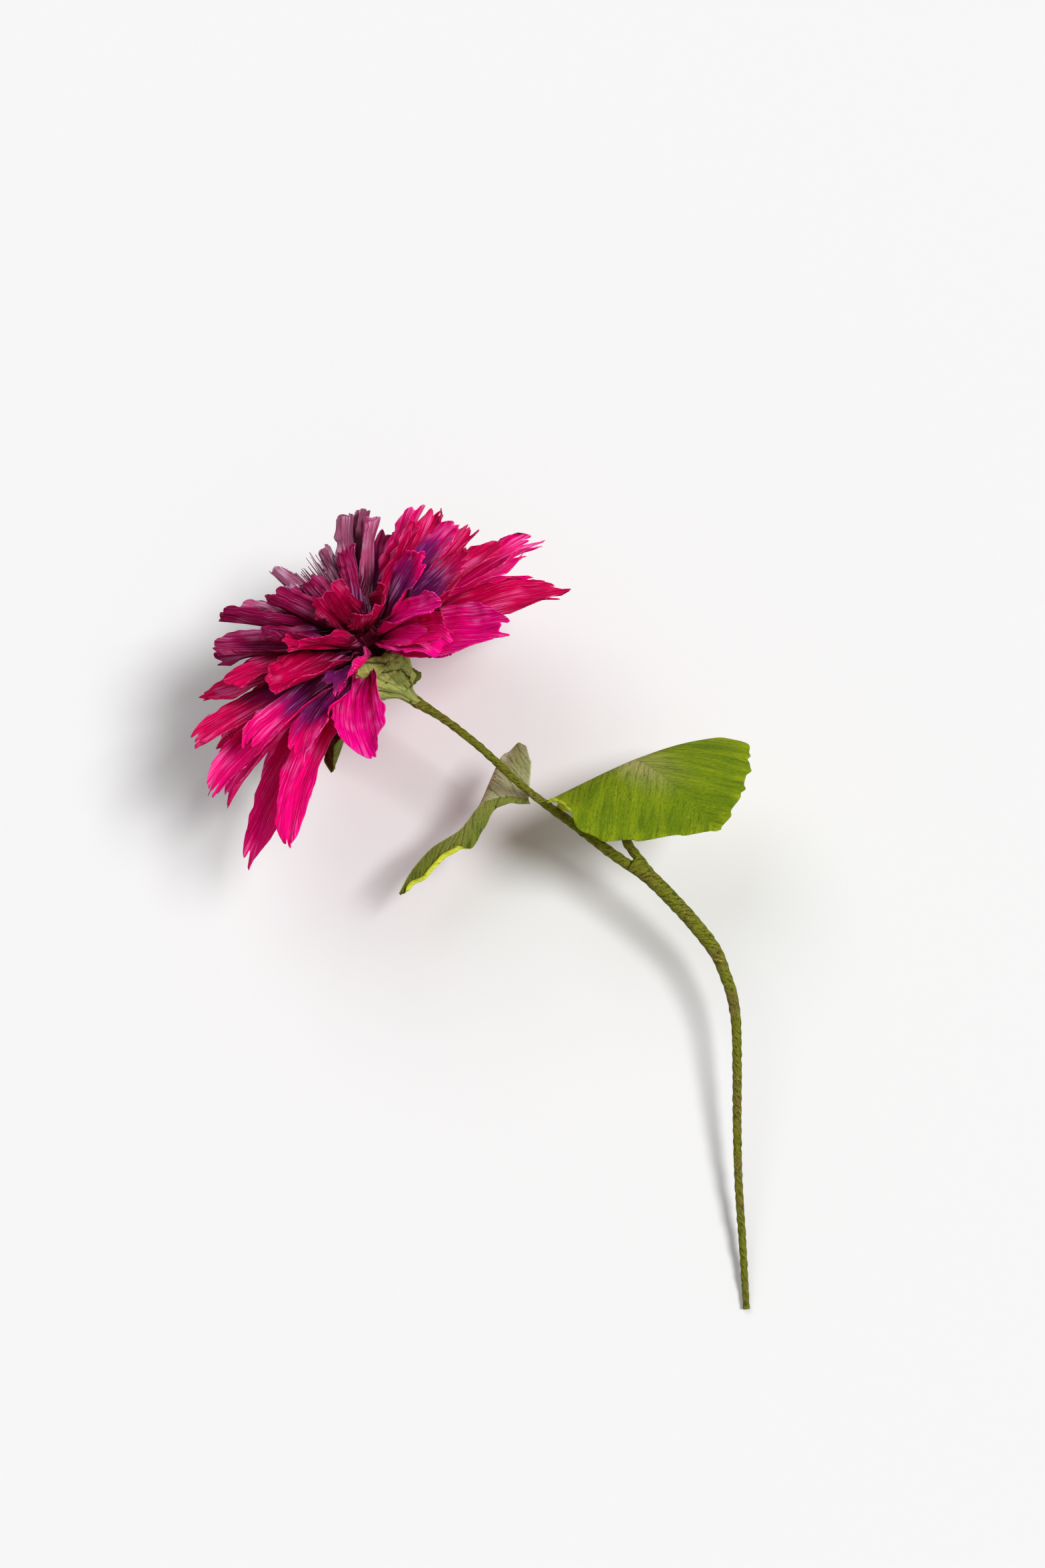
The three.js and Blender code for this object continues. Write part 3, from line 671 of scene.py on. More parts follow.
def wrap_finish(name, lit, deep, mottle, light, slant, crease_shade):
    """Stretched crepe wound round a stem or cup, with fine creases and the cup's folds darkened by painted
    shade, a mottle and pale lap edges.
    """
    paper = Finish(name)
    reach = paper.mark("reach")
    turn = paper.mark("grain")
    lap = paper.mark("along")
    wound = paper.vector(turn + reach * slant, reach * 0.25 - turn * 0.1)
    ridges = paper.noise(wound, 1.7, 3.0, 0.6)
    patch = paper.grained(turn, reach, WRAP_RATES["patch"], 5.0, 3.0, 0.6)
    flecks = paper.grained(turn, reach, WRAP_RATES["flecks"], 9.0, 3.0, 0.65)
    colour = paper.mix(patch.between(0.45, 0.68) * 0.75, lit, mottle)
    # Painted shade in the fine creases
    colour = paper.mix(ridges.between(0.56, 0.34) * crease_shade + flecks.between(0.46, 0.3) * 0.5, colour, deep)
    colour = paper.mix(flecks.between(0.57, 0.74) * 0.35, colour, light)
    # Painted shade along the folds that the calyx writes into its tone mark; the stem's mark stays clear of
    # it
    colour = paper.mix(paper.mark("tint").between(0.3, 0.02) * 0.85, colour, deep)
    colour = paper.mix(lap.between(0.93, 0.99) * patch.between(0.49, 0.57) * 0.85, colour, light)
    paper.set(Base_Color=colour, Roughness=0.66 + ridges * 0.2, Specular_IOR_Level=0.08)
    paper.bump(ridges + flecks * 0.5, 0.0005, 0.85)
    return paper.material


def wire_finish(dull, bright):
    """Drawn steel wire with a dull, faintly streaked surface."""
    wire = Finish("drawn_wire")
    place = wire.node("ShaderNodeTexCoord", {}, {}, "Object")
    speck = wire.noise(place, 900.0, 3.0)
    wire.set(Base_Color=wire.mix(speck, dull, bright), Roughness=0.3 + speck * 0.25, Metallic=1.0)
    return wire.material


def floor_finish(colour):
    """Pale matt board with a faint tooth."""
    board = Finish("pale_floor")
    place = board.node("ShaderNodeTexCoord", {}, {}, "Object")
    tooth = board.noise(place, 260.0, 2.0)
    darker = tuple(part * 0.9 for part in colour)
    board.set(Base_Color=board.mix(tooth * 0.05, colour, darker), Roughness=0.85)
    return board.material


def new_sheet(name, along, across):
    """Add a grid, and give it back with each point's share along (0 to 1) and across (-1 to 1)."""
    bpy.ops.object.select_all(action="DESELECT")
    bpy.ops.mesh.primitive_grid_add(x_subdivisions=along, y_subdivisions=across, size=2)
    piece = bpy.context.object
    piece.name = name
    piece.data.name = name
    places = np.empty(len(piece.data.vertices) * 3)
    piece.data.vertices.foreach_get("co", places)
    places = places.reshape(-1, 3)
    return piece, (places[:, 0] + 1) / 2, places[:, 1]


def place_points(piece, points, **marks):
    """Move a sheet's points to their places in metres and write its marks for the finish."""
    mesh = piece.data
    mesh.vertices.foreach_set("co", np.asarray(points, np.float32).ravel())
    for name, values in marks.items():
        values = np.broadcast_to(np.asarray(values, np.float32), len(mesh.vertices))
        mesh.attributes.new(name, "FLOAT", "POINT").data.foreach_set("value", np.ascontiguousarray(values))
    mesh.update()


def flip():
    """Turn over the faces of the sheet in hand."""
    bpy.ops.object.mode_set(mode="EDIT")
    bpy.ops.mesh.select_all(action="SELECT")
    bpy.ops.mesh.flip_normals()
    bpy.ops.object.mode_set(mode="OBJECT")


def weld():
    """Close the seam of the sheet in hand, which was wound into a tube."""
    bpy.ops.object.mode_set(mode="EDIT")
    bpy.ops.mesh.select_all(action="SELECT")
    bpy.ops.mesh.remove_doubles(threshold=WELD_GAP)
    bpy.ops.object.mode_set(mode="OBJECT")


def thicken(piece, thickness, upper, under=None, offset=0.0):
    """Give a sheet its paper's thickness, one finish above and one below."""
    piece.data.materials.append(upper)
    piece.data.materials.append(under or upper)
    bpy.ops.object.modifier_add(type="SOLIDIFY")
    wall = piece.modifiers[-1]
    wall.thickness = thickness
    wall.offset = offset
    wall.material_offset = 1
    bpy.ops.object.modifier_apply(modifier=wall.name)
    bpy.ops.object.shade_smooth()


def joined(pieces, name):
    """One piece from several."""
    bpy.ops.object.select_all(action="DESELECT")
    for piece in pieces:
        piece.select_set(True)
    bpy.context.view_layer.objects.active = pieces[0]
    bpy.ops.object.join()
    pieces[0].name = name
    pieces[0].data.name = name
    return pieces[0]


def settle(piece, slot, *nodes):
    """Tie a finished piece to the frame, in place of the CAD nodes it stands for."""
    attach(piece, "root")
    if nodes:
        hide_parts(*nodes)


def outline(s, blunt, widest):
    """A petal's half width at s, as a share of its widest."""
    swell = GATHER + (1 - GATHER) * np.sin(np.pi / 2 * np.clip(s / widest, 0, 1))
    taper = np.cos(np.pi / 2 * np.clip((s - widest) / (1 - widest), 0, 1) ** 1.4)
    return np.where(s < widest, swell, blunt + (1 - blunt) * taper)


def uneven(x, knots, dice):
    """A crooked line through random values from -1 to 1, read at each of x from 0 to 1."""
    return np.interp(x, np.linspace(0, 1, knots), dice.uniform(-1, 1, knots))


def frayed(t, fray, strands, dice):
    """How far each lengthwise thread is cut back at the tip, and how far it lifts, in millimetres."""
    bounds = np.concatenate([[0], np.cumsum(dice.uniform(0.5, 1.5, strands))])
    bounds = 2 * bounds / bounds[-1] - 1
    middle = (bounds[1:] + bounds[:-1]) / 2
    wide = bounds[1:] - bounds[:-1]
    tips = dice.uniform(0, 0.5, strands) + 0.5 * np.abs(middle) ** 1.5
    shoulders = tips + dice.uniform(0.06, 0.2, strands)
    deep = np.concatenate([[tips[0] + 0.3], np.maximum(tips[1:], tips[:-1]), [tips[-1] + 0.3]])
    deep = deep + dice.uniform(0.15, 0.6, strands + 1)
    lifts = dice.uniform(-1, 1, strands)
    places = np.concatenate([bounds, middle - 0.32 * wide, middle + 0.1 * wide, middle + 0.34 * wide])
    cuts = np.concatenate([deep, shoulders, tips, shoulders])
    raised = np.concatenate([np.zeros(strands + 1), 0.6 * lifts, lifts, 0.6 * lifts])
    order = np.argsort(places)
    return fray * np.interp(t, places[order], cuts[order]), np.interp(t, places[order], raised[order])


def petal_curve(s, petal):
    """How far out and up a petal's middle line has come at s, and its slope there."""
    table = np.linspace(-0.02, 1.02, 400)
    slope = math.radians(petal["rise"]) + math.radians(petal["curl"]) * (table - 0.5)
    slope = slope + math.radians(petal["tip"]) * smooth((table - 0.62) / 0.38)
    step = petal["length"] * (table[1] - table[0])
    run = np.cumsum(np.cos(slope)) * step
    climb = np.cumsum(np.sin(slope)) * step
    run = np.interp(s, table, run - np.interp(0, table, run))
    climb = np.interp(s, table, climb - np.interp(0, table, climb))
    return run, climb, np.interp(s, table, slope)


def ruffled(s, t, petal, lift, dice):
    """How far each point of a petal stands out of its cupped sheet."""
    waves = 1.3 + dice.uniform(0, 1.2, 2)
    start = dice.uniform(0, FULL_TURN, 8)
    edge = np.abs(t) ** 2.2 * smooth(s / 0.3)
    side = np.where(t > 0, 0, 1)
    wave = np.sin(FULL_TURN * waves[side] * s + start[side])
    kinks = np.where(t > 0, uneven(s, KINKS, dice), uneven(s, KINKS, dice))
    out = petal["ruffle"] * edge * (0.6 * wave + 0.55 * kinks)
    out = out + 0.3 * petal["ruffle"] * smooth(s / 0.3) * np.sin(5 * t + start[2]) * np.sin(6 * s + start[3])
    pleats = np.sin(9 * t + start[4]) + 0.7 * np.sin(15 * t + start[5])
    out = out + petal["pleat"] * pleats * smooth(s / 0.12) * (1 - smooth((s - 0.35) / 0.6))
    return out + 1.6 * lift * smooth((s - 0.72) / 0.28)


def about_axis(away, side, height, turn):
    """Points so far from the head's axis, to the side and up it, turned about it by an angle."""
    x = away * math.cos(turn) - side * math.sin(turn)
    y = away * math.sin(turn) + side * math.cos(turn)
    return np.stack([x, y, height], -1)


def petal_points(s, t, petal, dice):
    """A petal's points in the head's frame, with how far each lies along and across the flat paper."""
    cut, lift = frayed(t, petal["fray"], petal["strands"], dice)
    s = s - cut / petal["length"] * smooth((s - 0.5) / 0.5)
    half = petal["width"] / 2 * outline(s, petal["blunt"], petal["widest"])
    nicks = np.where(t > 0, uneven(s, NICKS, dice), uneven(s, NICKS, dice)) * smooth((s - 0.3) / 0.4)
    half = half * (1 + NICK_DEPTH * nicks + 0.04 * np.sin(9 * s + 6 * dice.uniform() + t))
    run, climb, slope = petal_curve(s, petal)
    opened = math.radians(petal["cup"])
    flat = half * np.sin(opened * t) / opened
    raised = half * (1 - np.cos(opened * t)) / opened + petal["fold"] * half * (np.abs(t) - 0.4)
    out = ruffled(s, t, petal, lift, dice)
    hem = abs(petal["hem"]) * smooth((t * np.sign(petal["hem"]) - 0.7) / 0.3)
    hem = hem * smooth(s / 0.2) * smooth((1 - s) / 0.2)
    flat = flat - out * np.sin(opened * t) - np.sign(t) * 0.5 * hem
    raised = raised + out * np.cos(opened * t) + hem
    tilt = math.radians(petal["roll"]) * smooth(s / 0.35)
    tilt = tilt + math.radians(petal["twist"]) * smooth((s - 0.2) / 0.8)
    side = flat * np.cos(tilt) - raised * np.sin(tilt) + petal["sweep"] * s * s
    up = flat * np.sin(tilt) + raised * np.cos(tilt)
    away = petal["radius"] + run - up * np.sin(slope)
    height = petal["height"] + climb + up * np.cos(slope)
    points = about_axis(away, side, height, math.radians(petal["turn"]))
    return points, s, half * t, half * (1 - np.abs(t))


def make_petal(name, petal, finishes, sizes, seed, grid="petal"):
    """One crepe petal, cut, frayed, cupped and bent."""
    dice = np.random.RandomState(seed)
    piece, s, t = new_sheet(name, *GRIDS[grid])
    points, share, grain, side_rim = petal_points(s, t, petal, dice)
    rim = np.minimum(side_rim, (1 - s) * petal["length"])
    place_points(
        piece, on_head(points), along=share, grain=grain, reach=share * petal["length"], rim=rim,
        dye=petal["dye"], tint=petal.get("tint", dice.uniform()), shaded=petal.get("shaded", SHADED),
    )
    thicken(piece, sizes.paper, *finishes)
    return piece


def full_petal(row, turn, rise, length, own, sizes, seed):
    """A row's shared measures with one petal's own."""
    dice = np.random.RandomState(SEEDS["measures"] + seed)
    petal = {key: row[key] for key in ("width", "curl", "cup", "fray", "blunt")}
    petal.update(turn=turn, rise=rise, length=length, radius=SEAT, height=row["height"] + own.get("lift", 0))
    petal.update(
        roll=-row["show"] * math.cos(math.radians(turn)), tip=dice.uniform(-16, 8), sweep=dice.uniform(-2, 2),
        dye=row["dye"] * dice.uniform(0.2, 1.4), ruffle=sizes.ruffle / MM * dice.uniform(0.7, 1.3),
        fold=dice.uniform(-0.1, 0.3), pleat=dice.uniform(0.15, 0.4), twist=dice.uniform(-12, 12), hem=0,
        widest=WIDEST_AT + dice.uniform(-0.12, 0.06),
    )
    petal["strands"] = max(3, round(petal["width"] * dice.uniform(0.3, 0.5) / STRAND))
    petal.update({key: value for key, value in own.items() if key not in ("lift", "paper")})
    petal["fray"] *= sizes.fray * dice.uniform(0.7, 1.2)
    return petal


def row_finishes(colours):
    """The upper and under finish of each petal colour."""
    # Each paper: its slot, lit, deep and rim colours, how dark its painted shade in the furrows gets, and the
    # brighter pink it takes in full light, if any
    papers = (
        ("petal_magenta", colours.magenta, colours.magenta_deep, colours.rim, 0.5, colours.hot_pink),
        ("petal_crimson", colours.crimson, colours.crimson_deep, colours.crimson_sheen_and_edge, 0.76, None),
        ("petal_plum", colours.plum, colours.plum_deep, colours.plum_sheen_and_edge, 0.74, None),
    )
    made = {}
    for slot, lit, deep, rim, furrow_shade_depth, full_light_pink in papers:
        shades = (lit, deep, colours.dye, rim, colours.lavender_sheen)
        made[slot] = (
            petal_finish(slot + "_face", *shades, True, furrow_shade_depth, full_light_pink=full_light_pink),
            petal_finish(slot + "_back", *shades, False, furrow_shade_depth, full_light_pink=full_light_pink),
        )
    return made


class DAHLIA_OT_petals(bpy.types.Operator):
    """Cut, fray and bend the petals of the five open rows"""

    bl_idname = "dahlia.petals"
    bl_label = "Petals"

    def execute(self, context):
        sizes = context.scene.dahlia_sizes
        finishes = row_finishes(context.scene.dahlia_colours)
        seed = 0
        for row in PETAL_ROWS:
            for number, (turn, rise, length, own) in enumerate(row["petals"], 1):
                seed += 1
                node = f"{row['name']}_petal_{number}"
                petal = full_petal(row, turn, rise, length, own, sizes, seed)
                paper = finishes[own.get("paper", row["slot"])]
                settle(make_petal(node + "_crepe", petal, paper, sizes, seed), row["slot"], node)
        return {"FINISHED"}


class DAHLIA_OT_tucked_petals(bpy.types.Operator):
    """Tuck further petals between those of the open rows"""

    bl_idname = "dahlia.tucked_petals"
    bl_label = "Tucked petals"

    def execute(self, context):
        sizes = context.scene.dahlia_sizes
        rows = {row["name"]: row for row in PETAL_ROWS}
        for number, (name, turn, rise, length) in enumerate(TUCKED, 1):
            row = rows[name]
            seed = SEEDS["tucked"] + number
            finishes = [bpy.data.materials[row["slot"] + side] for side in ("_face", "_back")]
            petal = full_petal(row, turn, rise, length, TUCKED_OWN, sizes, seed)
            settle(make_petal(f"tucked_petal_{number}", petal, finishes, sizes, seed, "tucked"), row["slot"])
        return {"FINISHED"}


def heart_finish(name, lit, deep, colours):
    """Rolled paper of the heart, with grey painted highlights on its creases and grey cut edges."""
    pale = colours.heart_sheen_and_edge
    return petal_finish(name, lit, deep, colours.plum_deep, pale, pale, True, highlight_strength=1.5)


def wound_core(finish, sizes):
    """The strip wound round the wire that carries the petals' seats."""
    piece, s, t = new_sheet("wound_core", *GRIDS["core"])
    turn = math.tau * CORE_TURNS * s
    radius = CORE_RADIUS - CORE_LAP * (1 - s) * CORE_TURNS + 0.08 * np.sin(40 * turn)
    height = CORE_FROM + CORE_HALF_HEIGHT * (t + 1) + 0.3 * np.sin(3 * turn)
    points = np.stack([radius * np.cos(turn), radius * np.sin(turn), height], -1)
    # Painted shade: with its along mark at 0 the whole strip gets the petals' painted seat shade, so it reads
    # as the dark between the seats
    place_points(
        piece, on_head(points), along=0.0, grain=turn * 6, reach=height, rim=1.0, dye=0.0, tint=0.5,
        shaded=SHADED,
    )
    thicken(piece, sizes.paper, finish)
    return piece


class DAHLIA_OT_heart(bpy.types.Operator):
    """Roll the tight petals of the heart"""

    bl_idname = "dahlia.heart"
    bl_label = "Heart petals"

    def execute(self, context):
        sizes = context.scene.dahlia_sizes
        colours = context.scene.dahlia_colours
        finishes = {
            "petal_dark": heart_finish("petal_dark_crepe", colours.heart, colours.heart_deep, colours),
            "petal_blush": heart_finish("petal_blush_crepe", colours.blush, colours.plum, colours),
            "petal_plum": bpy.data.materials["petal_plum_face"],
        }
        pieces = []
        for turn, rise, length, paper, own in HEART_PETALS:
            seed = SEEDS["heart"] + len(pieces)
            own = dict(own, radius=HEART_SEAT, tip=-8, sweep=0)
            petal = full_petal(HEART, turn, rise, length, own, sizes, seed)
            petal["ruffle"] *= HEART_RUFFLE
            pieces.append(make_petal(f"heart_{seed}", petal, [finishes[paper]] * 2, sizes, seed, "heart"))
        pieces.append(wound_core(bpy.data.materials["petal_plum_back"], sizes))
        settle(joined(pieces, "heart_rolled_petals"), "petal_dark", "heart_petals")
        return {"FINISHED"}


def fringe_strand(number, dice, finish, sizes):
    """One strand of the centre's fringe, which leans out further the later it is wound."""
    piece, s, t = new_sheet(f"strand_{number}", *GRIDS["strand"])
    share = number / sizes.strands
    radius = FRINGE_INNER + FRINGE_SPREAD * math.sqrt(share)
    length = FRINGE_LENGTH - FRINGE_SHORTER * share + dice.uniform(-2.5, 2.5)
    lean = math.radians(4 + 22 * share + dice.uniform(-8, 8))
    bend = dice.uniform(-0.25, 0.25)
    half = 0.5 * (1 - 0.92 * s ** 1.5) * t
    run = radius + length * s * math.sin(lean) + 3 * bend * s * s
    height = FRINGE_SEAT + length * s * math.cos(lean)
    points = about_axis(run, half + 4 * bend * s * s, height, FRINGE_TURN * number)
    place_points(
        piece, on_head(points), along=s, grain=half, reach=length * s, rim=1.0, dye=0.6, tint=dice.uniform(),
        shaded=SHADED,
    )
    thicken(piece, sizes.paper, finish)
    return piece


class DAHLIA_OT_fringe(bpy.types.Operator):
    """Wind the finely cut fringe of the centre"""

    bl_idname = "dahlia.fringe"
    bl_label = "Centre fringe"

    def execute(self, context):
        sizes = context.scene.dahlia_sizes
        dark = bpy.data.materials["petal_dark_crepe"]
        dice = np.random.RandomState(SEEDS["fringe"])
        strands = [fringe_strand(number, dice, dark, sizes) for number in range(sizes.strands)]
        settle(joined(strands, "centre_fringe_strands"), "petal_dark", "centre_fringe")
        return {"FINISHED"}


def calyx_wrap(name, start, sweep, low, high, stand, dice, finish, sizes):
    """One strip of crepe folded round the cup in flat facets, with crooked edges."""
    closed = sweep == 360
    piece, s, t = new_sheet(name, *GRIDS["calyx_ring" if closed else "calyx_strip"])
    turn = math.radians(start) + math.radians(sweep) * s
    v = (t + 1) / 2
    knots = max(4, round(sweep / CALYX_FACET))
    closing = smooth(s / 0.06) * smooth((1 - s) / 0.06) if closed else 1
    facet = uneven(s, knots, dice) * closing
    ragged = (uneven(s, knots + 3, dice) + 0.4 * uneven(s, 4 * knots, dice)) * closing
    hanging = (uneven(s, knots, dice) + 0.4 * uneven(s, 4 * knots, dice)) * closing
    bottom = low[0] + (low[1] - low[0]) * s + 0.8 * hanging * (stand > 0)
    top = high[0] + (high[1] - high[0]) * s + 1.2 * ragged
    height = bottom + (top - bottom) * v
    heights, radii = zip(*CALYX_PROFILE)
    bulge = 0.5 * np.sin(math.pi * v) + 0.9 * smooth((0.25 - v) / 0.25) * (stand > 0)
    crossing = 1.5 * turn + 0.9 * v + stand + 0.4 * facet
    fold = 2 * np.abs(crossing % 1 - 0.5)
    pleats = 0.1 * np.sin(34 * turn + 3 * v) + 1.1 * fold
    loose = smooth((height - 0.5) / 4)
    radius = np.interp(height, heights, radii) + stand
    radius = radius + loose * ((0.35 + 0.75 * v) * facet + bulge + pleats)
    sag = CALYX_SAG * smooth(height / 9)
    points = np.stack([radius * np.cos(turn) + sag, radius * np.sin(turn), np.zeros(len(s))], -1)
    points = points + STEM_LINE.at(NECK - height) @ HEAD.T
    # The pleats' fold value goes in as the tone mark, which the finish turns into painted shade along the
    # fold lines
    place_points(piece, on_head(points), reach=height, grain=turn * 7, along=v, tint=fold)
    if closed:
        weld()
    flip()
    thicken(piece, sizes.paper, finish)
    return piece


class DAHLIA_OT_calyx(bpy.types.Operator):
    """Gather the calyx strips round the base of the head"""

    bl_idname = "dahlia.calyx"
    bl_label = "Calyx"

    def execute(self, context):
        sizes = context.scene.dahlia_sizes
        colours = context.scene.dahlia_colours
        finish = wrap_finish(
            "calyx_crepe", colours.calyx, colours.calyx_deep, colours.calyx_green, colours.grey_sheen_and_flecks,
            slant=0.05, crease_shade=0.4,
        )
        dice = np.random.RandomState(SEEDS["calyx"])
        wraps = [calyx_wrap(*strip, dice, finish, sizes) for strip in CALYX_WRAPS]
        settle(joined(wraps, "calyx_gathered"), "calyx_green", "calyx_cup")
        return {"FINISHED"}


class DAHLIA_OT_sepals(bpy.types.Operator):
    """Cut the sepals that hang from the calyx"""

    bl_idname = "dahlia.sepals"
    bl_label = "Sepals"

    def execute(self, context):
        sizes = context.scene.dahlia_sizes
        colours = context.scene.dahlia_colours
        # The sepals take stem brown where a leaf gets its grey sheen, so their fold is painted browner
        finish = leaf_finish(
            "sepal_crepe", colours.leaf_deep, colours.calyx_deep, colours.calyx_green, colours.stem_brown,
            greyed=0.3,
        )
        for number, (turn, rise, length, own) in enumerate(SEPALS, 1):
            seed = SEEDS["sepals"] + number
            own = {"radius": SEPAL_SEAT, "roll": 0, **own}
            petal = full_petal(SEPAL_ROW, turn, rise, length, own, sizes, seed)
            piece = make_petal(f"sepal_{number}_crepe", petal, (finish, finish), sizes, seed, "sepal")
            settle(piece, "calyx_green", f"sepal_{number}")
        return {"FINISHED"}


def leaf_half(name, midrib, widths, outs, droop, look, finishes, sizes):
    """Half a leaf, from the midrib out to its margin."""
    piece, s, t = new_sheet(name, *GRIDS["leaf"])
    b = (t + 1) / 2
    line = Line(midrib)
    dice = np.random.RandomState(look["seed"])
    start = dice.uniform(0, FULL_TURN, 6)
    tangent = line.heading(s * line.length)
    out = unit(ramp(outs, s))
    reach = ramp(widths, s)
    teeth = look["teeth"] * (np.abs(np.sin(look["teeth_count"] * math.pi * s + start[0])) - 0.5)
    teeth = teeth + 0.4 * look["teeth"] * np.sin(47 * s + start[1])
    reach = np.maximum(0.6, reach + teeth * smooth((s - 0.1) / 0.2) * smooth((1 - s) / 0.1))
    face = unit(np.cross(tangent, out))
    flat = reach * b
    curl_from = look["curl_from"]
    curled = look["curl"] * smooth((s - curl_from[0]) / 0.08) * smooth((curl_from[1] - s) / 0.08)
    past = np.maximum(0, flat - (reach - curled))
    bend = past / CURL_RADIUS
    flat_now = flat - past + CURL_RADIUS * np.sin(bend)
    lift = CURL_RADIUS * (1 - np.cos(bend)) * look["side"]
    wave = look["wave"] * b ** 1.5 * np.sin(FULL_TURN * look["waves"] * s + start[2])
    wave = wave + 0.35 * look["wave"] * b * np.sin(23 * s + 4 * b + start[3])
    rise = droop * reach * b * b + lift + wave
    points = line.at(s * line.length) + out * (flat_now - 0.15 * (1 - b))[:, None] + face * rise[:, None]
    rim = np.minimum(reach - flat, (1 - s) * line.length)
    place_points(piece, laid(points), reach=s * line.length, grain=flat, rim=rim)
    if look["side"] < 0:
        flip()
    thicken(piece, sizes.paper, *finishes)
    return piece


def leaf_finishes(colours):
    """The upper face of each leaf half, by its node, and the lime underside they share."""
    green = (colours.leaf, colours.leaf_deep, colours.leaf_streak, colours.grey_sheen_and_flecks)
    grey = colours.back_leaf_sheen
    lime = colours.leaf_under
    faces = {
        # Painted sheen: the front leaf's left half gets more of the grey sheen by the fold than its right
        # half, and the back leaf's upper half is painted pale and grey as lit
        "front_leaf_left": leaf_finish("leaf_crepe", *green, greyed=0.8),
        "front_leaf_right": leaf_finish("leaf_right_crepe", *green, greyed=0.4),
        "back_leaf_upper": leaf_finish(
            "back_leaf_crepe", colours.back_leaf, colours.leaf_deep, grey, grey, greyed=0.4,
        ),
        "back_leaf_lower": leaf_finish(
            "back_leaf_lower_crepe", colours.calyx_green, colours.calyx_deep, colours.leaf, colours.calyx,
            greyed=0.4,
        ),
    }
    under = leaf_finish("leaf_under_crepe", lime, colours.leaf, lime, colours.leaf_streak, greyed=0.8)
    return faces, under


class DAHLIA_OT_leaves(bpy.types.Operator):
    """Cut and fold the two leaves on their midribs"""

    bl_idname = "dahlia.leaves"
    bl_label = "Leaves"

    def execute(self, context):
        sizes = context.scene.dahlia_sizes
        faces, under = leaf_finishes(context.scene.dahlia_colours)
        for node, midrib, widths, outs, droop, own in LEAF_HALVES:
            look = dict(LEAF_LOOK, **own)
            finishes = (faces[node], under)
            piece = leaf_half(node + "_crepe", midrib, widths, outs, droop, look, finishes, sizes)
            settle(piece, "leaf_green", node)
        return {"FINISHED"}


def wound_tube(name, line, start, end, radius, shift, finish, sizes, pitch=LAP_PITCH, step=LAP_STEP):
    """A strip of crepe wound in a spiral round a wire, each turn lapping the last."""
    piece, s, t = new_sheet(name, int((end - start) / LAP_ROW), LAP_THREADS)
    distance = start + (end - start) * s
    angle = math.pi * (t + 1)
    tangent = line.heading(distance)
    in_plane = unit(np.stack([-tangent[:, 1], tangent[:, 0], np.zeros(len(s))], -1))
    off_plane = np.cross(tangent, in_plane)
    wound = (distance / pitch + angle / (2 * math.pi)) % 1
    lumps = 0.07 * np.sin(distance * 1.9 + 2 * angle) + 0.06 * np.sin(distance * 0.7 - 3 * angle)
    size = radius(distance) + step * (wound - 0.5) * smooth((1 - wound) / 0.08) + lumps
    centre = line.at(distance) + in_plane * shift(distance)[:, None]
    points = centre + in_plane * (size * np.cos(angle))[:, None] + off_plane * (size * np.sin(angle))[:, None]
    place_points(piece, laid(points), reach=distance, grain=angle * 1.3, along=wound, tint=0.5)
    weld()
    flip()
    thicken(piece, sizes.paper, finish, offset=-1)
    return piece


class DAHLIA_OT_stem(bpy.types.Operator):
    """Wind the paper strips round the stem and the leaf stalk, and give the wires their finish"""

    bl_idname = "dahlia.stem"
    bl_label = "Wrapped stem"

    def execute(self, context):
        sizes = context.scene.dahlia_sizes
        colours = context.scene.dahlia_colours
        finish = wrap_finish(
            "stem_crepe", colours.stem, colours.stem_deep, colours.stem_brown, colours.leaf_under,
            slant=0.7, crease_shade=0.8,
        )
        upper = wound_tube(
            "stem_wrap_upper_crepe", STEM_LINE, NECK + 0.2, NECK + JOIN + 1,
            lambda d: ramp(UPPER_RADII, d - NECK), np.zeros_like, finish, sizes,
        )
        settle(upper, "stem_green", "stem_wrap_upper")
        lower = wound_tube(
            "stem_wrap_lower_crepe", STEM_LINE, NECK + JOIN - 1, STEM_LINE.length,
            self.lower_radius, self.lower_shift, finish, sizes,
        )
        settle(lower, "stem_green", "stem_wrap_lower")
        stalk_line = self.stalk_line()
        length = stalk_line.length
        stalk = wound_tube(
            "front_leaf_stalk_crepe", stalk_line, STALK_FROM * length, STALK_TO * length,
            lambda d: STALK_RADIUS - STALK_TAPER * d / length, np.zeros_like, finish, sizes,
            STALK_LAP_PITCH, STALK_LAP_STEP,
        )
        settle(stalk, "stem_green", "front_leaf_stalk")
        wire = wire_finish(colours.wire, colours.wire_bright)
        for node in ("stem_wire", "front_leaf_wire"):
            bpy.data.objects[node].data.materials[0] = wire
        return {"FINISHED"}

    def mouth(self, distance):
        """How far the lower wrap opens where the stalk joins."""
        return JOIN_MOUTH * (1 - smooth((distance - NECK - JOIN) / JOIN_EASE))

    def lower_radius(self, distance):
        return ramp(LOWER_RADII, distance - NECK) + self.mouth(distance)

    def lower_shift(self, distance):
        bundled = 1 - smooth((distance - NECK - JOIN - BUNDLE_LENGTH) / JOIN_EASE)
        return BUNDLE_OFFSET * 0.5 * bundled + self.mouth(distance)

    def stalk_line(self):
        """The leaf wire's run down its stalk and on beside the stem's wire."""
        beside = np.linspace(NECK + JOIN + BUNDLE_FROM, NECK + JOIN + BUNDLE_LENGTH, 5)
        heading = STEM_LINE.heading(beside)
        in_plane = unit(np.stack([-heading[:, 1], heading[:, 0], np.zeros(5)], -1))
        return Line(STALK_POINTS + [tuple(p) for p in STEM_LINE.at(beside) + in_plane * BUNDLE_OFFSET])


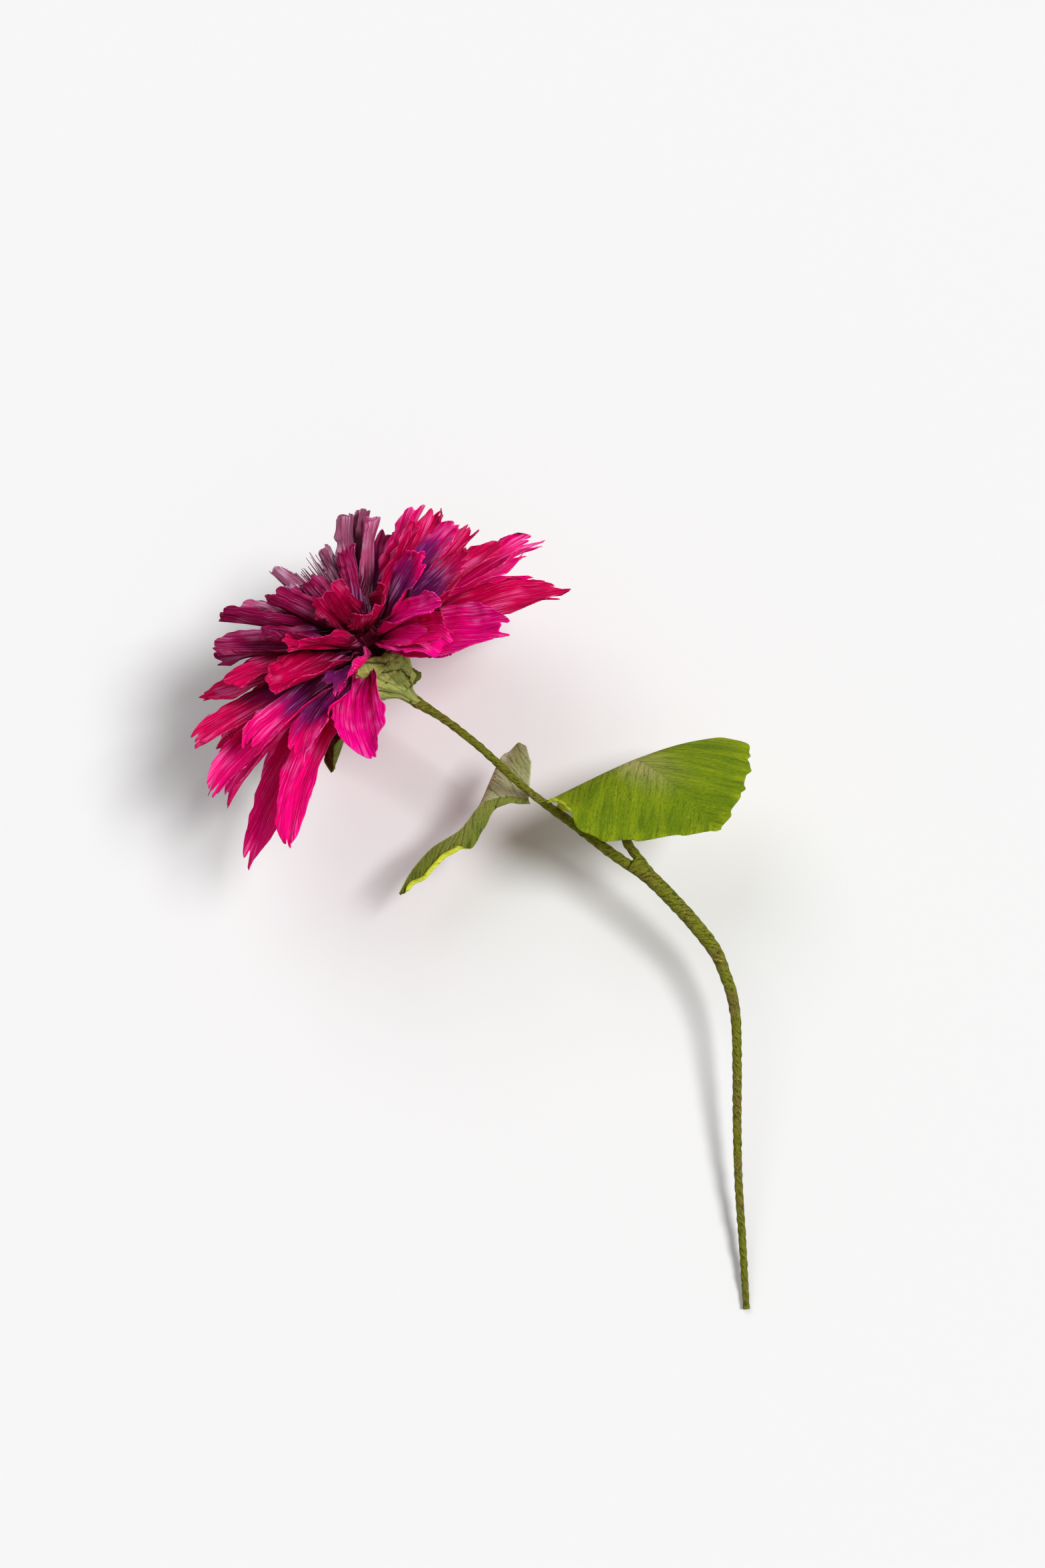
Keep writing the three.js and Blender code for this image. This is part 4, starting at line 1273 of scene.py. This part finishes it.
class DAHLIA_OT_stage(bpy.types.Operator):
    """Lay the pale floor and set the lights and the camera"""

    bl_idname = "dahlia.stage"
    bl_label = "Stage"

    def execute(self, context):
        scene = context.scene
        scene.view_settings.view_transform = "Standard"
        bpy.ops.object.select_all(action="DESELECT")
        bpy.ops.mesh.primitive_plane_add(size=FLOOR_SIZE, location=(0, 0, -FLOOR_DROP))
        floor = context.object
        floor.name = "floor"
        bpy.ops.object.transform_apply(location=True, rotation=True, scale=True)
        floor.data.materials.append(floor_finish(scene.dahlia_colours.floor))
        for name, (place, spread, strength) in LAMPS.items():
            self.lamp(name, place, spread, strength)
        self.room(scene)
        self.camera(scene)
        return {"FINISHED"}

    def room(self, scene):
        """A white room: seen as it is, and dimmer as a light."""
        world = bpy.data.worlds.new("pale_room")
        scene.world = world
        world.use_nodes = True
        tree = world.node_tree
        lit = tree.nodes["Background"]
        lit.inputs["Color"].default_value = (1, 1, 1, 1)
        lit.inputs["Strength"].default_value = ROOM_LIGHT
        seen = tree.nodes.new("ShaderNodeBackground")
        seen.inputs["Color"].default_value = (1, 1, 1, 1)
        seen.inputs["Strength"].default_value = ROOM_SEEN
        path = tree.nodes.new("ShaderNodeLightPath")
        shown = path.outputs["Is Camera Ray"]
        for ray in ("Is Glossy Ray", "Is Transmission Ray"):
            either = tree.nodes.new("ShaderNodeMath")
            either.operation = "MAXIMUM"
            tree.links.new(shown, either.inputs[0])
            tree.links.new(path.outputs[ray], either.inputs[1])
            shown = either.outputs[0]
        choice = tree.nodes.new("ShaderNodeMixShader")
        tree.links.new(shown, choice.inputs[0])
        tree.links.new(lit.outputs[0], choice.inputs[1])
        tree.links.new(seen.outputs[0], choice.inputs[2])
        tree.links.new(choice.outputs[0], tree.nodes["World Output"].inputs["Surface"])

    def lamp(self, name, place, spread, strength):
        """A soft lamp so far off that the whole floor gets the same light."""
        bpy.ops.object.light_add(type="SUN", location=place)
        lamp = bpy.context.object
        lamp.name = name
        lamp.data.angle = math.radians(spread)
        lamp.data.energy = strength
        lamp.rotation_euler = (-Vector(place)).to_track_quat("-Z", "Y").to_euler()

    def camera(self, scene):
        bpy.ops.object.camera_add()
        camera = bpy.context.object
        camera.name = "photo_camera"
        camera.data.lens = CAMERA_LENS
        camera.data.sensor_width = SENSOR_WIDTH
        camera.data.clip_start = 0.01
        place = Matrix.Translation(Vector(laid(CAMERA_AT)))
        camera.matrix_world = place @ REST.to_4x4()
        scene.camera = camera


class DAHLIA_PT_panel(bpy.types.Panel):
    """The steps that make the dahlia, in order"""

    bl_idname = "DAHLIA_PT_panel"
    bl_label = "Crepe Paper Dahlia"
    bl_space_type = "VIEW_3D"
    bl_region_type = "UI"
    bl_category = "Dahlia"

    def draw(self, context):
        column = self.layout.column()
        for group in (context.scene.dahlia_sizes, context.scene.dahlia_colours):
            for name in group.__annotations__:
                column.prop(group, name)
        for step in STEPS:
            column.operator(step.bl_idname)


STEPS = (
    DAHLIA_OT_stem, DAHLIA_OT_leaves, DAHLIA_OT_calyx, DAHLIA_OT_sepals, DAHLIA_OT_petals,
    DAHLIA_OT_tucked_petals, DAHLIA_OT_heart, DAHLIA_OT_fringe, DAHLIA_OT_stage,
)
CLASSES = (DahliaColours, DahliaSizes) + STEPS + (DAHLIA_PT_panel,)


def register():
    for kind in CLASSES:
        bpy.utils.register_class(kind)
    bpy.types.Scene.dahlia_colours = bpy.props.PointerProperty(type=DahliaColours)
    bpy.types.Scene.dahlia_sizes = bpy.props.PointerProperty(type=DahliaSizes)


def unregister():
    del bpy.types.Scene.dahlia_sizes
    del bpy.types.Scene.dahlia_colours
    for kind in reversed(CLASSES):
        bpy.utils.unregister_class(kind)


def main():
    register()
    for step in STEPS:
        group, name = step.bl_idname.split(".")
        getattr(getattr(bpy.ops, group), name)()


if __name__ == "__main__":
    main()
